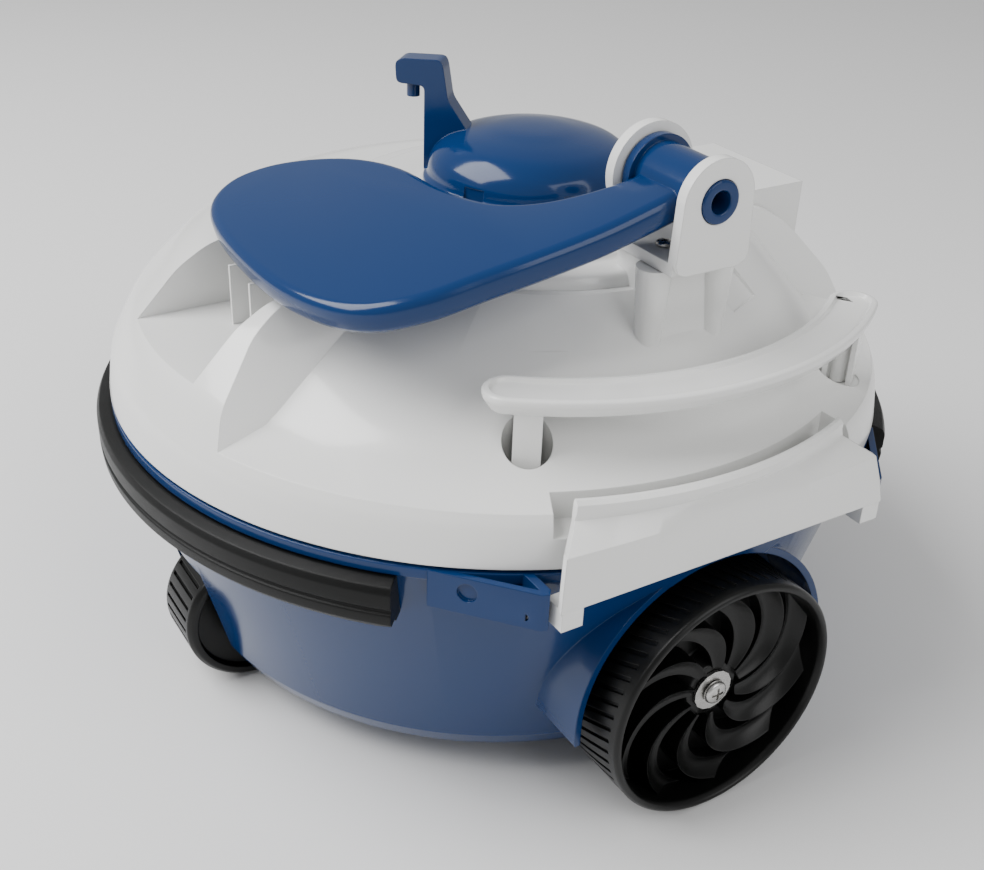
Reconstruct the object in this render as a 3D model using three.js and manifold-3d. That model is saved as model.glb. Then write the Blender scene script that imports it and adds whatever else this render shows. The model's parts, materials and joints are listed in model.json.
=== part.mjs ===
// Cordless robotic pool cleaner: round two-part body, two big side wheels, a front and a rear roller,
// a swinging steering paddle on top. Millimetres, +Z up, floor at z = 0, the body's axis on the origin,
// the scoop end towards -Y and the carry handle towards +X.
import * as THREE from "three";
import { mergeVertices } from "three/addons/utils/BufferGeometryUtils.js";
import Module from "manifold-3d";

const wasm = await Module();
wasm.setup();

// Driving sizes.
const rimRadius = 180; // radius of the white rim
const rimClearance = 20.7; // underside of the white rim above the tops of the wheels
const wall = 3; // skin of the two shells
const gap = 0.3; // clearance between mating pieces
const wheelRadius = 55.9;
const wheelWidth = 40;
const wheelFace = 188.6; // outer face of each side wheel from the centre plane
const rollerRadius = 34;
const rollerWidth = 32;
const rollerReach = 134; // roller axles from the centre plane
const hullFloor = 14; // underside of the hull
const crownY = 17; // the hub, its rings, the bracket and the handle sit this far behind the middle
const handleTop = 56.5; // top of the grip above the rim
const handleX = 7; // centre of the grip's arc
const handleRadius = 146; // middle line of the grip
const handleWidth = 21;
const handleHalfAngle = 37;
const pivotLift = 115.5; // paddle axis above the rim
const earOuter = 128; // outer face of the near bracket ear
const bracketLength = 46;
const bracketHalfWidth = 18;
const paddleThickness = 12.5;
const paddleReach = 149; // tip of the blade from the paddle axis, along the floor
const paddleSlope = 15.2; // degrees below level when it rests on the front side
const capRadius = 48;
const capRise = 27;
const hookRise = 25; // top of the lifting hook above the cap
const ductHalfWidth = 34;
const latchHalfAngle = 22;

// Sizes that follow.
const spread = rimRadius / 180;
const rimHeight = 2 * wheelRadius + rimClearance; // underside of the white rim above the floor
const flatX = 173 * spread; // side flats that the latches close against
const coneTopRadius = 96 * spread;
const shelfRadius = 150 * spread;
const pivotHeight = rimHeight + pivotLift;
const flangeTop = rimHeight - 1.5;
const flangeBottom = rimHeight - 6.5;
const axleRadius = 4;
const wheelInner = wheelFace - wheelWidth;
const wellInner = wheelInner - 2.6;
const radians = Math.PI / 180;

// Turns a three.js geometry into a solid whose faces look outwards.
function solid(geometry, matrix) {
  const loose = geometry.index ? geometry.toNonIndexed() : geometry;
  const bare = new THREE.BufferGeometry();
  bare.setAttribute("position", loose.getAttribute("position").clone());
  if (matrix) bare.applyMatrix4(matrix);
  const joined = mergeVertices(bare, 1e-4);
  const corners = new Uint32Array(joined.index.array);
  const make = () =>
    new wasm.Manifold(
      new wasm.Mesh({
        numProp: 3,
        vertProperties: joined.attributes.position.array,
        triVerts: corners,
      }),
    );
  const made = make();
  if (made.volume() > 0) return made;
  for (let i = 0; i < corners.length; i += 3) {
    const kept = corners[i];
    corners[i] = corners[i + 1];
    corners[i + 1] = kept;
  }
  return make();
}

function geometryOf(body) {
  const mesh = body.getMesh();
  const points = new Float32Array(mesh.numVert * 3);
  for (let i = 0; i < mesh.numVert; i++)
    for (let k = 0; k < 3; k++)
      points[3 * i + k] = mesh.vertProperties[mesh.numProp * i + k];
  const geometry = new THREE.BufferGeometry();
  geometry.setAttribute("position", new THREE.BufferAttribute(points, 3));
  geometry.setIndex(new THREE.BufferAttribute(new Uint32Array(mesh.triVerts), 1));
  return geometry;
}

const moved = (body, matrix) => solid(geometryOf(body), matrix);
const mirrored = (body, sx, sy) => moved(body, new THREE.Matrix4().makeScale(sx, sy, 1));
const turned = (body, degrees) => moved(body, new THREE.Matrix4().makeRotationZ(degrees * radians));
const join = (...bodies) => bodies.reduce((all, next) => all.add(next));
const cut = (body, ...tools) => tools.reduce((left, tool) => left.subtract(tool), body);
const common = (a, b) => a.intersect(b);

function block(x0, x1, y0, y1, z0, z1) {
  const geometry = new THREE.BoxGeometry(x1 - x0, y1 - y0, z1 - z0);
  geometry.translate((x0 + x1) / 2, (y0 + y1) / 2, (z0 + z1) / 2);
  return solid(geometry);
}

// A round bar, or a cone frustum when endRadius differs, between two points.
function bar(radius, from, to, sides = 16, endRadius = radius) {
  const start = new THREE.Vector3(...from);
  const end = new THREE.Vector3(...to);
  const along = end.clone().sub(start);
  const geometry = new THREE.CylinderGeometry(endRadius, radius, along.length(), sides);
  const turn = new THREE.Quaternion().setFromUnitVectors(
    new THREE.Vector3(0, 1, 0),
    along.clone().normalize(),
  );
  geometry.applyQuaternion(turn);
  geometry.translate((start.x + end.x) / 2, (start.y + end.y) / 2, (start.z + end.z) / 2);
  return solid(geometry);
}

// A profile of [radius, height] pairs turned about the upright axis.
function revolve(profile, sides = 60) {
  const geometry = new THREE.LatheGeometry(
    profile.map(([r, z]) => new THREE.Vector2(r, z)),
    sides,
  );
  geometry.rotateX(Math.PI / 2);
  return solid(geometry);
}

// The same for a profile of [radius, distance] pairs turned about an axis along X.
function revolveX(profile, y, z, sides = 32) {
  const geometry = new THREE.LatheGeometry(
    profile.map(([r, x]) => new THREE.Vector2(r, x)),
    sides,
  );
  geometry.rotateZ(-Math.PI / 2);
  geometry.translate(0, y, z);
  return solid(geometry);
}

function shapeOf(points) {
  return new THREE.Shape(points.map(([a, b]) => new THREE.Vector2(a, b)));
}

// Plates: an outline pushed along Z, X or Y.
function plateZ(points, z0, z1) {
  const geometry = new THREE.ExtrudeGeometry(shapeOf(points), { depth: z1 - z0, bevelEnabled: false });
  return solid(geometry, new THREE.Matrix4().makeTranslation(0, 0, z0));
}

function plateX(points, x0, x1) {
  const geometry = new THREE.ExtrudeGeometry(shapeOf(points), { depth: x1 - x0, bevelEnabled: false });
  const axes = new THREE.Matrix4().makeBasis(
    new THREE.Vector3(0, 1, 0),
    new THREE.Vector3(0, 0, 1),
    new THREE.Vector3(1, 0, 0),
  );
  axes.setPosition(x0, 0, 0);
  return solid(geometry, axes);
}

function plateY(points, y0, y1) {
  const geometry = new THREE.ExtrudeGeometry(shapeOf(points), { depth: y1 - y0, bevelEnabled: false });
  const axes = new THREE.Matrix4().makeBasis(
    new THREE.Vector3(1, 0, 0),
    new THREE.Vector3(0, 0, 1),
    new THREE.Vector3(0, -1, 0),
  );
  axes.setPosition(0, y1, 0);
  return solid(geometry, axes);
}

// A pie slice between two directions, used to keep a part of a turned ring.
function slice(from, to, z0, z1, radius = 320 * spread) {
  const points = [[0, 0]];
  const steps = 12;
  for (let i = 0; i <= steps; i++) {
    const angle = (from + ((to - from) * i) / steps) * radians;
    points.push([radius * Math.cos(angle), radius * Math.sin(angle)]);
  }
  return plateZ(points, z0, z1);
}

const ringPart = (profile, from, to, sides = 60) =>
  common(revolve([...profile, profile[0]], sides), slice(from, to, -50, 400));

// A skin through rows of points, closed round each row and capped at both ends.
function loft(rows) {
  const points = [];
  const triangle = (a, b, c) => points.push(...a, ...b, ...c);
  const count = rows[0].length;
  for (let i = 0; i + 1 < rows.length; i++)
    for (let k = 0; k < count; k++) {
      const next = (k + 1) % count;
      triangle(rows[i][k], rows[i][next], rows[i + 1][next]);
      triangle(rows[i][k], rows[i + 1][next], rows[i + 1][k]);
    }
  // Each section is a band, so its cap is a ladder between its two long sides.
  const cap = (row, against) => {
    const face = (a, b, c) =>
      against ? triangle(row[a], row[c], row[b]) : triangle(row[a], row[b], row[c]);
    for (let k = 0; k + 1 < count - 1 - k; k++) {
      if (k + 1 < count - 2 - k) face(k, k + 1, count - 2 - k);
      face(k, count - 2 - k, count - 1 - k);
    }
  };
  cap(rows[0], true);
  cap(rows[rows.length - 1], false);
  const geometry = new THREE.BufferGeometry();
  geometry.setAttribute("position", new THREE.Float32BufferAttribute(points, 3));
  return solid(geometry);
}

const polar = (radius, degrees) => [
  radius * Math.cos(degrees * radians),
  radius * Math.sin(degrees * radians),
];

// Finishes.
const finish = (color, roughness, metalness = 0) =>
  new THREE.MeshStandardMaterial({ color, roughness, metalness });
const whiteGloss = finish(0xdcdbd8, 0.25);
const blueGloss = finish(0x1b4a85, 0.22);
const blackRubber = finish(0x1c1d1d, 0.75);
const blackPlastic = finish(0x161719, 0.45);
const greyPlastic = finish(0x55585c, 0.5);
const steel = finish(0xb8bcc0, 0.3, 1);
const meshGrey = finish(0x8d9296, 0.6);

const root = new THREE.Group();
root.name = "pool_cleaner";
function piece(name, body, material) {
  const mesh = new THREE.Mesh(geometryOf(body), material);
  mesh.name = name;
  root.add(mesh);
}

// ---- Top cover -------------------------------------------------------------------------------
const above = (z) => rimHeight + z;
const duct = { front: -105 * spread, rear: 155 * spread, floor: above(38), roof: above(74.1) };
const scoopFront = -162 * spread; // the scoop floor ends at the shell, so nothing opens under its lip
const well = { radius: capRadius - 3, floor: above(75), seat: above(81.5) };
const grooveRadius = 164.5 * spread;
const seatFloor = above(12.5);
const seatHalfAngle = latchHalfAngle + 2.5;
const post = { angle: handleHalfAngle - 3, floor: above(21) };
const postHoles = [9.8, 9.5]; // front and rear recesses round the posts

// The plain dome, drawn inwards by an inset so that the same rule gives the outside and the hollow.
function domeProfile(inset) {
  const rim = rimRadius - inset;
  const low = inset > 0 ? 5.5 : 0;
  return [
    [0, above(inset > 0 ? -4 : 0)],
    [inset > 0 ? rimRadius - 14 : rim, above(inset > 0 ? -4 : 0)],
    [inset > 0 ? rimRadius - 14 : rim, above(low)],
    [rim, above(low + 0.5)],
    [178 * spread - inset, above(15.5)],
    [175 * spread - inset, above(21.5 - inset * 0.6)],
    [168 * spread - inset, above(35 - inset * 0.6)],
    [156 * spread - inset * 0.7, above(47.5 - inset * 0.7)],
    [146 * spread - inset * 0.6, above(58 - inset * 0.8)],
    [133 * spread - inset * 0.4, above(66 - inset)],
    [118 * spread, above(70 - inset)],
    [0, above(71 - inset)],
  ];
}

const atCrown = (body) => moved(body, new THREE.Matrix4().makeTranslation(0, crownY, 0));

// Two stepped rings round the hub.
const crown = (inset) =>
  atCrown(
    revolve([
      [0, above(62)],
      [94 * spread - inset, above(62)],
      [94 * spread - inset, above(71 - inset)],
      [92 * spread - inset, above(76 - inset)],
      [80 * spread - inset, above(76.6 - inset)],
      [78.5 * spread - inset, above(80 - inset)],
      [0, above(80.4 - inset)],
    ], inset > 0 ? 32 : 56),
  );

// Room over the near side: a shelf along the rim and a cone that leans back to the stepped rings.
function sideScoop(inset) {
  const coneFoot = above(30.5);
  const coneTop = above(71.2);
  const lean = crownY / (coneTop - coneFoot);
  const leaning = new THREE.Matrix4().makeShear(0, 0, 0, 0, 0, lean);
  const upright = new THREE.Matrix4().makeTranslation(0, -lean * coneFoot, 0);
  const cone = revolve([
    [coneTopRadius - inset, coneTop],
    [coneTopRadius - inset * 0.3, above(71.2 - inset)],
    [122 * spread, above(51.5 - inset * 1.3)],
    [shelfRadius - 2, above(30.5 - inset * 1.2)],
    [shelfRadius + 3, above(27 - inset)],
    [176 * spread, above(20.5 - inset)],
    [220 * spread, above(19 - inset)],
    [220 * spread, coneTop],
    [coneTopRadius - inset, coneTop],
  ], 48);
  const over = revolve([
    [coneTopRadius - inset, coneTop - 1],
    [220 * spread, coneTop - 1],
    [220 * spread, above(120)],
    [coneTopRadius - inset, above(120)],
    [coneTopRadius - inset, coneTop - 1],
  ], 48);
  const ring = join(moved(cone, upright.multiply(leaning)), atCrown(over));
  const edgeX = (z) => 47 * spread - inset + (above(52.5) - z) * 0.5;
  const beyond = plateY(
    [
      [edgeX(above(-10)), above(-10)],
      [300 * spread, above(-10)],
      [300 * spread, above(140)],
      [edgeX(above(73)), above(140)],
      [edgeX(above(73)), above(73)],
    ],
    -260 * spread,
    260 * spread,
  );
  return common(ring, beyond);
}

function latchSeat(inset) {
  const half = seatHalfAngle + inset * 0.35;
  const one = ringPart(
    [
      [grooveRadius - inset, seatFloor - inset],
      [220 * spread, seatFloor - inset],
      [220 * spread, above(60)],
      [grooveRadius - inset, above(60)],
    ],
    -half,
    half,
  );
  return join(one, mirrored(one, -1, 1));
}

const flats = (inset) =>
  block(
    -flatX + inset,
    flatX - inset,
    -260 * spread,
    260 * spread,
    -20,
    above(160),
  );

const domeShape = (inset) =>
  cut(
    join(
      common(revolve(domeProfile(inset), inset > 0 ? 32 : 60), flats(inset)),
      crown(inset),
    ),
    sideScoop(inset),
    latchSeat(inset),
  );

const bracketTop = pivotHeight - 23;
const bracketPlate = 5;
const bossTop = bracketTop - bracketPlate - gap;
const bossX = earOuter - 15;
const bossY = 16;
const screwX = earOuter - 20;
const screwY = 8;

let coverSolid = join(
  domeShape(0),
  block(-ductHalfWidth, ductHalfWidth, duct.front, duct.rear, above(20), duct.roof),
  atCrown(bar(capRadius + 8, [0, 0, above(60)], [0, 0, well.seat], 48, capRadius + 5)),
);
for (const side of [-1, 1])
  coverSolid = join(
    coverSolid,
    atCrown(bar(5.2, [bossX, side * bossY, above(35)], [bossX, side * bossY, bossTop], 28, 6.8)),
  );
coverSolid = join(
  coverSolid,
  atCrown(
    plateY(
      [
        [earOuter - bracketLength + 2, above(60)],
        [screwX + 8, above(50)],
        [screwX + 6, bossTop],
        [earOuter - bracketLength + 2, bossTop],
      ],
      -screwY - 4,
      screwY + 4,
    ),
  ),
);
let hollow = domeShape(wall);
hollow = cut(
  hollow,
  block(
    -ductHalfWidth - wall,
    ductHalfWidth + wall,
    scoopFront - wall,
    duct.rear + 1,
    duct.floor - wall,
    above(110),
  ),
);
const alongGrip = (degrees) => {
  const [x, y] = polar(handleRadius, degrees);
  return [(x + handleX) * spread, y * spread + crownY];
};
const postSpots = [-1, 1].map((side) => alongGrip(side * post.angle));
postSpots.forEach(([x, y], i) => {
  hollow = cut(hollow, bar(postHoles[i] + wall, [x, y, post.floor - wall], [x, y, above(60)], 32));
});
coverSolid = cut(coverSolid, hollow);
postSpots.forEach(([x, y], i) => {
  coverSolid = cut(
    coverSolid,
    bar(postHoles[i], [x, y, post.floor], [x, y, above(60)], 32),
    bar(2.1, [x, y, post.floor - 2 * wall], [x, y, post.floor + 1], 12),
  );
});
// The water duct runs from the open scoop to the rear mouth.
coverSolid = cut(
  coverSolid,
  block(
    -ductHalfWidth + wall,
    ductHalfWidth - wall,
    -80 * spread,
    duct.rear + 10,
    duct.floor,
    duct.roof - wall,
  ),
  block(-ductHalfWidth, ductHalfWidth, duct.front, -79 * spread, duct.floor, duct.roof - wall),
  block(-ductHalfWidth, ductHalfWidth, -220 * spread, duct.front + 1, duct.floor, above(120)),
);
const ribFront = -127 * spread;
for (const side of [-1, 1])
  for (const end of [
    [ribFront, duct.front + 10, above(65)],
    [duct.rear - 32, duct.rear - 2, duct.roof - 1],
  ])
    coverSolid = join(
      coverSolid,
      block(
        side * 11 - 0.9,
        side * 11 + 0.9,
        end[0],
        end[1],
        duct.floor - 1,
        end[2],
      ),
    );
// The round well under the cap.
coverSolid = cut(
  coverSolid,
  atCrown(bar(well.radius, [0, 0, well.floor], [0, 0, above(120)], 48)),
);
// Shallow square pockets moulded in the cone.
for (const angle of [-26, 26]) {
  const pocket = plateY(
    [
      [103 * spread, above(67.3)],
      [116 * spread, above(56.6)],
      [126 * spread, above(60)],
      [112 * spread, above(78)],
    ],
    -11,
    11,
  );
  coverSolid = cut(
    coverSolid,
    moved(
      pocket,
      new THREE.Matrix4()
        .makeTranslation(0, crownY * 0.5, 0)
        .multiply(new THREE.Matrix4().makeRotationZ(angle * radians))
        .multiply(new THREE.Matrix4().makeTranslation(-0.6, 0, -1)),
    ),
  );
}
for (const side of [-1, 1])
  coverSolid = cut(
    coverSolid,
    atCrown(bar(1.9, [screwX, side * screwY, bossTop - 14], [screwX, side * screwY, bossTop + 1], 12)),
  );
piece("top_cover", coverSolid, whiteGloss);

// ---- Hull ------------------------------------------------------------------------------------
const hullTopRadius = rimRadius - 2;
const hullLowRadius = 152 * spread;
const hullSide = (z) =>
  hullLowRadius +
  ((hullTopRadius - hullLowRadius) * (z - hullFloor - 12)) / (flangeBottom - hullFloor - 12);
const openingRadius = 80;
const archRadius = wheelRadius + 8.6;
const wellRadius = wheelRadius + 5.6;
const fenderX = flatX - 0.2;
const rollerNotch = {
  half: rollerWidth / 2 + 6,
  back: rollerReach - rollerRadius - 2,
  top: 2 * rollerRadius + 2,
};
const hingeX = 168 * spread;
const hingeZ = above(-13);
const pinRadius = 1.6;
const lugEnd = 80.5 * spread;

const hullOutside = revolve([
  [0, hullFloor],
  [138 * spread, hullFloor],
  [147 * spread, hullFloor + 3.5],
  [hullLowRadius, hullFloor + 12],
  [hullTopRadius, flangeBottom],
  [rimRadius, flangeBottom],
  [rimRadius, flangeTop],
  [0, flangeTop],
]);
const hullInside = revolve([
  [0, hullFloor + wall],
  [137 * spread, hullFloor + wall],
  [145 * spread, hullFloor + 6],
  [hullLowRadius - wall, hullFloor + 13],
  [hullSide(flangeBottom - 8) - wall, flangeBottom - 8],
  [rimRadius - 14, flangeBottom],
  [rimRadius - 14, flangeTop + 5],
  [0, flangeTop + 5],
], 32);

function lug() {
  const outline = [
    [140 * spread, -114 * spread],
    [173.5 * spread, -85.2 * spread],
    [174.5 * spread, -82.5 * spread],
    [172 * spread, -lugEnd],
    [150 * spread, -lugEnd],
    [128 * spread, -100 * spread],
  ];
  const body = plateZ(outline, above(-18), flangeTop);
  const slantBelow = plateX(
    [
      [-90 * spread, above(-30)],
      [-150 * spread, above(-30)],
      [-150 * spread, above(-9)],
    ],
    100 * spread,
    200 * spread,
  );
  const tray = plateZ(
    [
      [143 * spread, -107.5 * spread],
      [170.2 * spread, -84.2 * spread],
      [158 * spread, -84.2 * spread],
      [136 * spread, -101 * spread],
    ],
    above(-9),
    above(5),
  );
  return cut(body, slantBelow, tray);
}

let hullSolid = join(
  common(hullOutside, flats(0)),
  common(
    bar(archRadius, [-fenderX, 0, wheelRadius], [fenderX, 0, wheelRadius], 28),
    block(-200 * spread, 200 * spread, -100, 100, wheelRadius - 8, 300),
  ),
);
for (const sx of [-1, 1])
  for (const sy of [-1, 1]) {
    hullSolid = join(hullSolid, mirrored(lug(), sx, -sy));
  }
let hullHollow = common(hullInside, flats(wall));
for (const side of [-1, 1]) {
  const reach = side * 260 * spread;
  const start = side * (wellInner - wall);
  hullHollow = cut(
    hullHollow,
    bar(archRadius, [start, 0, wheelRadius], [reach, 0, wheelRadius], 28),
    block(Math.min(start, reach), Math.max(start, reach), -archRadius, archRadius, -10, wheelRadius),
    bar(11, [side * (wellInner - 24), 0, wheelRadius], [reach, 0, wheelRadius], 12),
    block(
      -rollerNotch.half - 2 * wall,
      rollerNotch.half + 2 * wall,
      Math.min(side * (rollerNotch.back - wall), reach),
      Math.max(side * (rollerNotch.back - wall), reach),
      -10,
      rollerNotch.top + wall,
    ),
  );
}
hullSolid = cut(hullSolid, hullHollow);
for (const side of [-1, 1]) {
  const reach = side * 260 * spread;
  const start = side * wellInner;
  hullSolid = cut(
    hullSolid,
    bar(wellRadius, [start, 0, wheelRadius], [reach, 0, wheelRadius], 28),
    block(Math.min(start, reach), Math.max(start, reach), -wellRadius, wellRadius, -10, wheelRadius),
    bar(
      axleRadius + gap,
      [side * (wellInner - 20), 0, wheelRadius],
      [side * (wellInner + 5), 0, wheelRadius],
      32,
    ),
    block(
      -rollerNotch.half,
      rollerNotch.half,
      Math.min(side * rollerNotch.back, reach),
      Math.max(side * rollerNotch.back, reach),
      -10,
      rollerNotch.top,
    ),
    bar(
      3 + gap,
      [-rollerNotch.half - 3.6, side * rollerReach, rollerRadius],
      [rollerNotch.half + 3.6, side * rollerReach, rollerRadius],
      24,
    ),
  );
}
const pillarSpots = [45, 135, 225, 315].map((angle) => polar(125, angle));
const deckDrop = 48.5; // underside of the pump deck below the rim
const deckBottom = rimHeight - deckDrop;
for (const [x, y] of pillarSpots)
  hullSolid = join(hullSolid, bar(6, [x, y, hullFloor + 1], [x, y, deckBottom - gap], 24));
hullSolid = cut(hullSolid, bar(openingRadius, [0, 0, 0], [0, 0, hullFloor + 10], 32));
const plateScrews = [45, 135, 225, 315].map((angle) => polar(openingRadius + 6, angle));
for (const [x, y] of plateScrews)
  hullSolid = cut(hullSolid, bar(1.9, [x, y, 0], [x, y, hullFloor + 10], 16));
for (const sx of [-1, 1])
  for (const sy of [-1, 1]) {
    const x = sx * hingeX;
    hullSolid = cut(
      hullSolid,
      bar(pinRadius + gap, [x, sy * (lugEnd - 2), hingeZ], [x, sy * (lugEnd + 8.5), hingeZ], 12),
      bar(
        4,
        [sx * 160 * spread, sy * 113.4 * spread, above(-8)],
        [sx * 151 * spread, sy * 102.8 * spread, above(-8)],
        24,
      ),
    );
  }
piece("hull", hullSolid, blueGloss);

// Flat gasket between the two shells.
piece(
  "hull_gasket",
  cut(
    bar(rimRadius - 7.5, [0, 0, flangeTop + gap], [0, 0, rimHeight - gap], 40),
    bar(rimRadius - 12, [0, 0, flangeTop - 2], [0, 0, rimHeight + 2], 40),
  ),
  blackRubber,
);

// ---- Bumpers ---------------------------------------------------------------------------------
const bumperHalf = 47;
const bumperFront = ringPart(
  [
    [hullSide(above(-28)) + gap, above(-28)],
    [rimRadius + 4, above(-28)],
    [rimRadius + 6.6, above(-25)],
    [rimRadius + 7, above(-11)],
    [rimRadius + 5.6, above(-8.4)],
    [rimRadius + 1, above(-6.9)],
    [hullSide(above(-6.9)) + gap, above(-6.9)],
  ],
  -90 - bumperHalf,
  -90 + bumperHalf,
  96,
);
piece("bumper_front", bumperFront, blackRubber);
piece("bumper_rear", mirrored(bumperFront, 1, -1), blackRubber);

// ---- Side latches ----------------------------------------------------------------------------
// Each latch hooks over the cover's groove and turns outwards on two pins held by the hull's lugs.
const latchFoot = 176 * spread;
const latchEnd = 79.8 * spread;
const ridgeRadius = 173.3 * spread;
function latchBody() {
  const rows = [];
  const steps = 12;
  const section = [
    [0, above(-8.5), 3.2],
    [0.1, above(1.5), 3.2],
    [0.26, above(12.4), 3.2],
    [0.93, above(19.5), 2.8],
    [1, above(22.5), 3.9],
    [1, above(25.5), 3.9],
    [1, above(27), 2.4],
    [1, above(27), 0.8],
    [1, above(25), -0.2],
    [0.93, above(19.2), -0.4],
    [0.22, above(12.9), 0],
    [0.1, above(1.5), 0],
    [0, above(-8.5), 0],
  ];
  for (let i = 0; i <= steps; i++) {
    const t = -1 + (2 * i) / steps;
    const angle = t * latchHalfAngle;
    const [ridgeX, ridgeY] = polar(ridgeRadius, angle);
    rows.push(
      section.map(([s, z, out]) => {
        const lean = angle * 0.6 * radians;
        return [
          latchFoot + (ridgeX - latchFoot) * s + out * Math.cos(lean),
          t * latchEnd + (ridgeY - t * latchEnd) * s + out * Math.sin(lean),
          z,
        ];
      }),
    );
  }
  let body = loft(rows);
  for (const side of [-1, 1]) {
    const inner = side * (latchEnd - 9.5);
    const outer = side * latchEnd;
    body = join(
      body,
      bar(3.8, [hingeX, inner, hingeZ], [hingeX, outer, hingeZ], 12),
      block(
        hingeX,
        latchFoot + 3,
        Math.min(inner, outer),
        Math.max(inner, outer),
        hingeZ - 3.8,
        hingeZ + 5.5,
      ),
    );
    body = cut(
      body,
      bar(pinRadius + gap, [hingeX, inner + side * 1.5, hingeZ], [hingeX, outer * 1.1, hingeZ], 12),
    );
  }
  return body;
}
const latch = latchBody();
piece("latch_right", latch, whiteGloss);
piece("latch_left", mirrored(latch, -1, 1), whiteGloss);
for (const [sideName, sx] of [["right", 1], ["left", -1]])
  for (const [endName, sy] of [["front", -1], ["rear", 1]])
    piece(
      "latch_pin_" + sideName + "_" + endName,
      bar(
        pinRadius,
        [sx * hingeX, sy * (latchEnd - 7.5), hingeZ],
        [sx * hingeX, sy * (lugEnd + 8), hingeZ],
        20,
      ),
      steel,
    );

// ---- Carry handle ----------------------------------------------------------------------------
const gripTop = above(handleTop);
const gripR = handleRadius * spread;
const gripHalf = handleWidth / 2;
const endSpots = [-1, 1].map((side) => alongGrip(side * handleHalfAngle));
let handle = ringPart(
  [
    [gripR - gripHalf, gripTop - 3],
    [gripR - gripHalf + 3, gripTop - 8],
    [gripR + gripHalf - 3, gripTop - 8],
    [gripR + gripHalf, gripTop - 3],
    [gripR + gripHalf, gripTop - 0.8],
    [gripR + gripHalf - 1.5, gripTop],
    [gripR + gripHalf - 3.5, gripTop - 1.2],
    [gripR - gripHalf + 3.5, gripTop - 1.2],
    [gripR - gripHalf + 1.5, gripTop],
    [gripR - gripHalf, gripTop - 0.8],
  ],
  -handleHalfAngle,
  handleHalfAngle,
  72,
);
handle = moved(handle, new THREE.Matrix4().makeTranslation(handleX * spread, crownY, 0));
for (const [x, y] of endSpots) {
  const end = revolve([
    [0, gripTop - 8],
    [gripHalf - 3, gripTop - 8],
    [gripHalf, gripTop - 3],
    [gripHalf, gripTop - 0.8],
    [gripHalf - 1.5, gripTop],
    [gripHalf - 3.5, gripTop - 1.2],
    [0, gripTop - 1.2],
  ], 16);
  handle = join(handle, moved(end, new THREE.Matrix4().makeTranslation(x, y, 0)));
}
for (const side of [-1, 1]) {
  const angle = side * post.angle;
  const bottom = post.floor + gap;
  const [x, y] = alongGrip(angle);
  const column = join(
    block(-6.5, 6.5, -1.2, 1.2, bottom, gripTop - 6),
    block(-6.5, -4.3, -5.5, 5.5, bottom, gripTop - 6),
    block(4.3, 6.5, -5.5, 5.5, bottom, gripTop - 6),
    bar(3.6, [0, 0, bottom], [0, 0, gripTop - 6], 14),
  );
  const placed = moved(
    column,
    new THREE.Matrix4()
      .makeTranslation(x, y, 0)
      .multiply(new THREE.Matrix4().makeRotationZ(angle * radians)),
  );
  handle = cut(
    join(handle, placed),
    bar(2, [x, y, bottom - 2], [x, y, bottom + 16], 12),
  );
  piece(
    side < 0 ? "handle_screw_front" : "handle_screw_rear",
    join(
      bar(4, [x, y, post.floor - wall - gap - 2.6], [x, y, post.floor - wall - gap], 12),
      bar(1.7, [x, y, post.floor - wall - 1], [x, y, post.floor + 14], 12),
    ),
    steel,
  );
}
piece("carry_handle", handle, whiteGloss);

// ---- Paddle bracket, pivot tube and paddle ---------------------------------------------------
const earThickness = 5;
const nearEar = earOuter - earThickness;
const farEar = earOuter - bracketLength;
const tubeRadius = 8.7;
const earRound = 17;
const earOutline = (half, round) => {
  const points = [
    [-half + 5, bracketTop - bracketPlate],
    [half - 5, bracketTop - bracketPlate],
    [half - 1.5, bracketTop - bracketPlate + 1.5],
    [half, bracketTop - bracketPlate + 5],
  ];
  for (let i = 0; i <= 12; i++) {
    const angle = (i / 12) * Math.PI;
    points.push([round * Math.cos(angle), pivotHeight + round * Math.sin(angle)]);
  }
  points.push([-half, bracketTop - bracketPlate + 5], [-half + 1.5, bracketTop - bracketPlate + 1.5]);
  return points;
};
let bracket = join(
  block(farEar, earOuter - 2, -bracketHalfWidth, bracketHalfWidth, bracketTop - bracketPlate, bracketTop),
  plateX(earOutline(bracketHalfWidth, earRound), nearEar, earOuter),
  plateX(earOutline(bracketHalfWidth, earRound), farEar, farEar + earThickness),
  bar(20, [farEar, 0, pivotHeight], [farEar + earThickness, 0, pivotHeight], 24),
);
for (const side of [-1, 1]) {
  bracket = join(
    bracket,
    plateX(
      [
        [side * bracketHalfWidth, bracketTop - 1],
        [side * (bracketHalfWidth - 2.2), bracketTop - 1],
        [side * (bracketHalfWidth - 2.2), bracketTop + 7],
        [side * bracketHalfWidth, bracketTop + 7],
      ],
      farEar + 1,
      farEar + 9,
    ),
  );
  bracket = cut(
    bracket,
    bar(2, [screwX, side * screwY, bracketTop - 8], [screwX, side * screwY, bracketTop + 2], 12),
  );
}
bracket = cut(
  bracket,
  bar(tubeRadius + gap, [farEar - 5, 0, pivotHeight], [earOuter + 5, 0, pivotHeight], 24),
);
piece("paddle_bracket", atCrown(bracket), whiteGloss);

for (const side of [-1, 1]) {
  const x = screwX;
  const y = side * screwY;
  let screw = join(
    bar(3.6, [x, y, bracketTop + gap], [x, y, bracketTop + gap + 2.2], 16, 2.9),
    bar(1.6, [x, y, bossTop - 11], [x, y, bracketTop + 1], 12),
  );
  screw = cut(
    screw,
    block(x - 1.9, x + 1.9, y - 0.4, y + 0.4, bracketTop + gap + 1.2, bracketTop + 6),
    block(x - 0.4, x + 0.4, y - 1.9, y + 1.9, bracketTop + gap + 1.2, bracketTop + 6),
  );
  piece(side < 0 ? "bracket_screw_front" : "bracket_screw_rear", atCrown(screw), steel);
}

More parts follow.
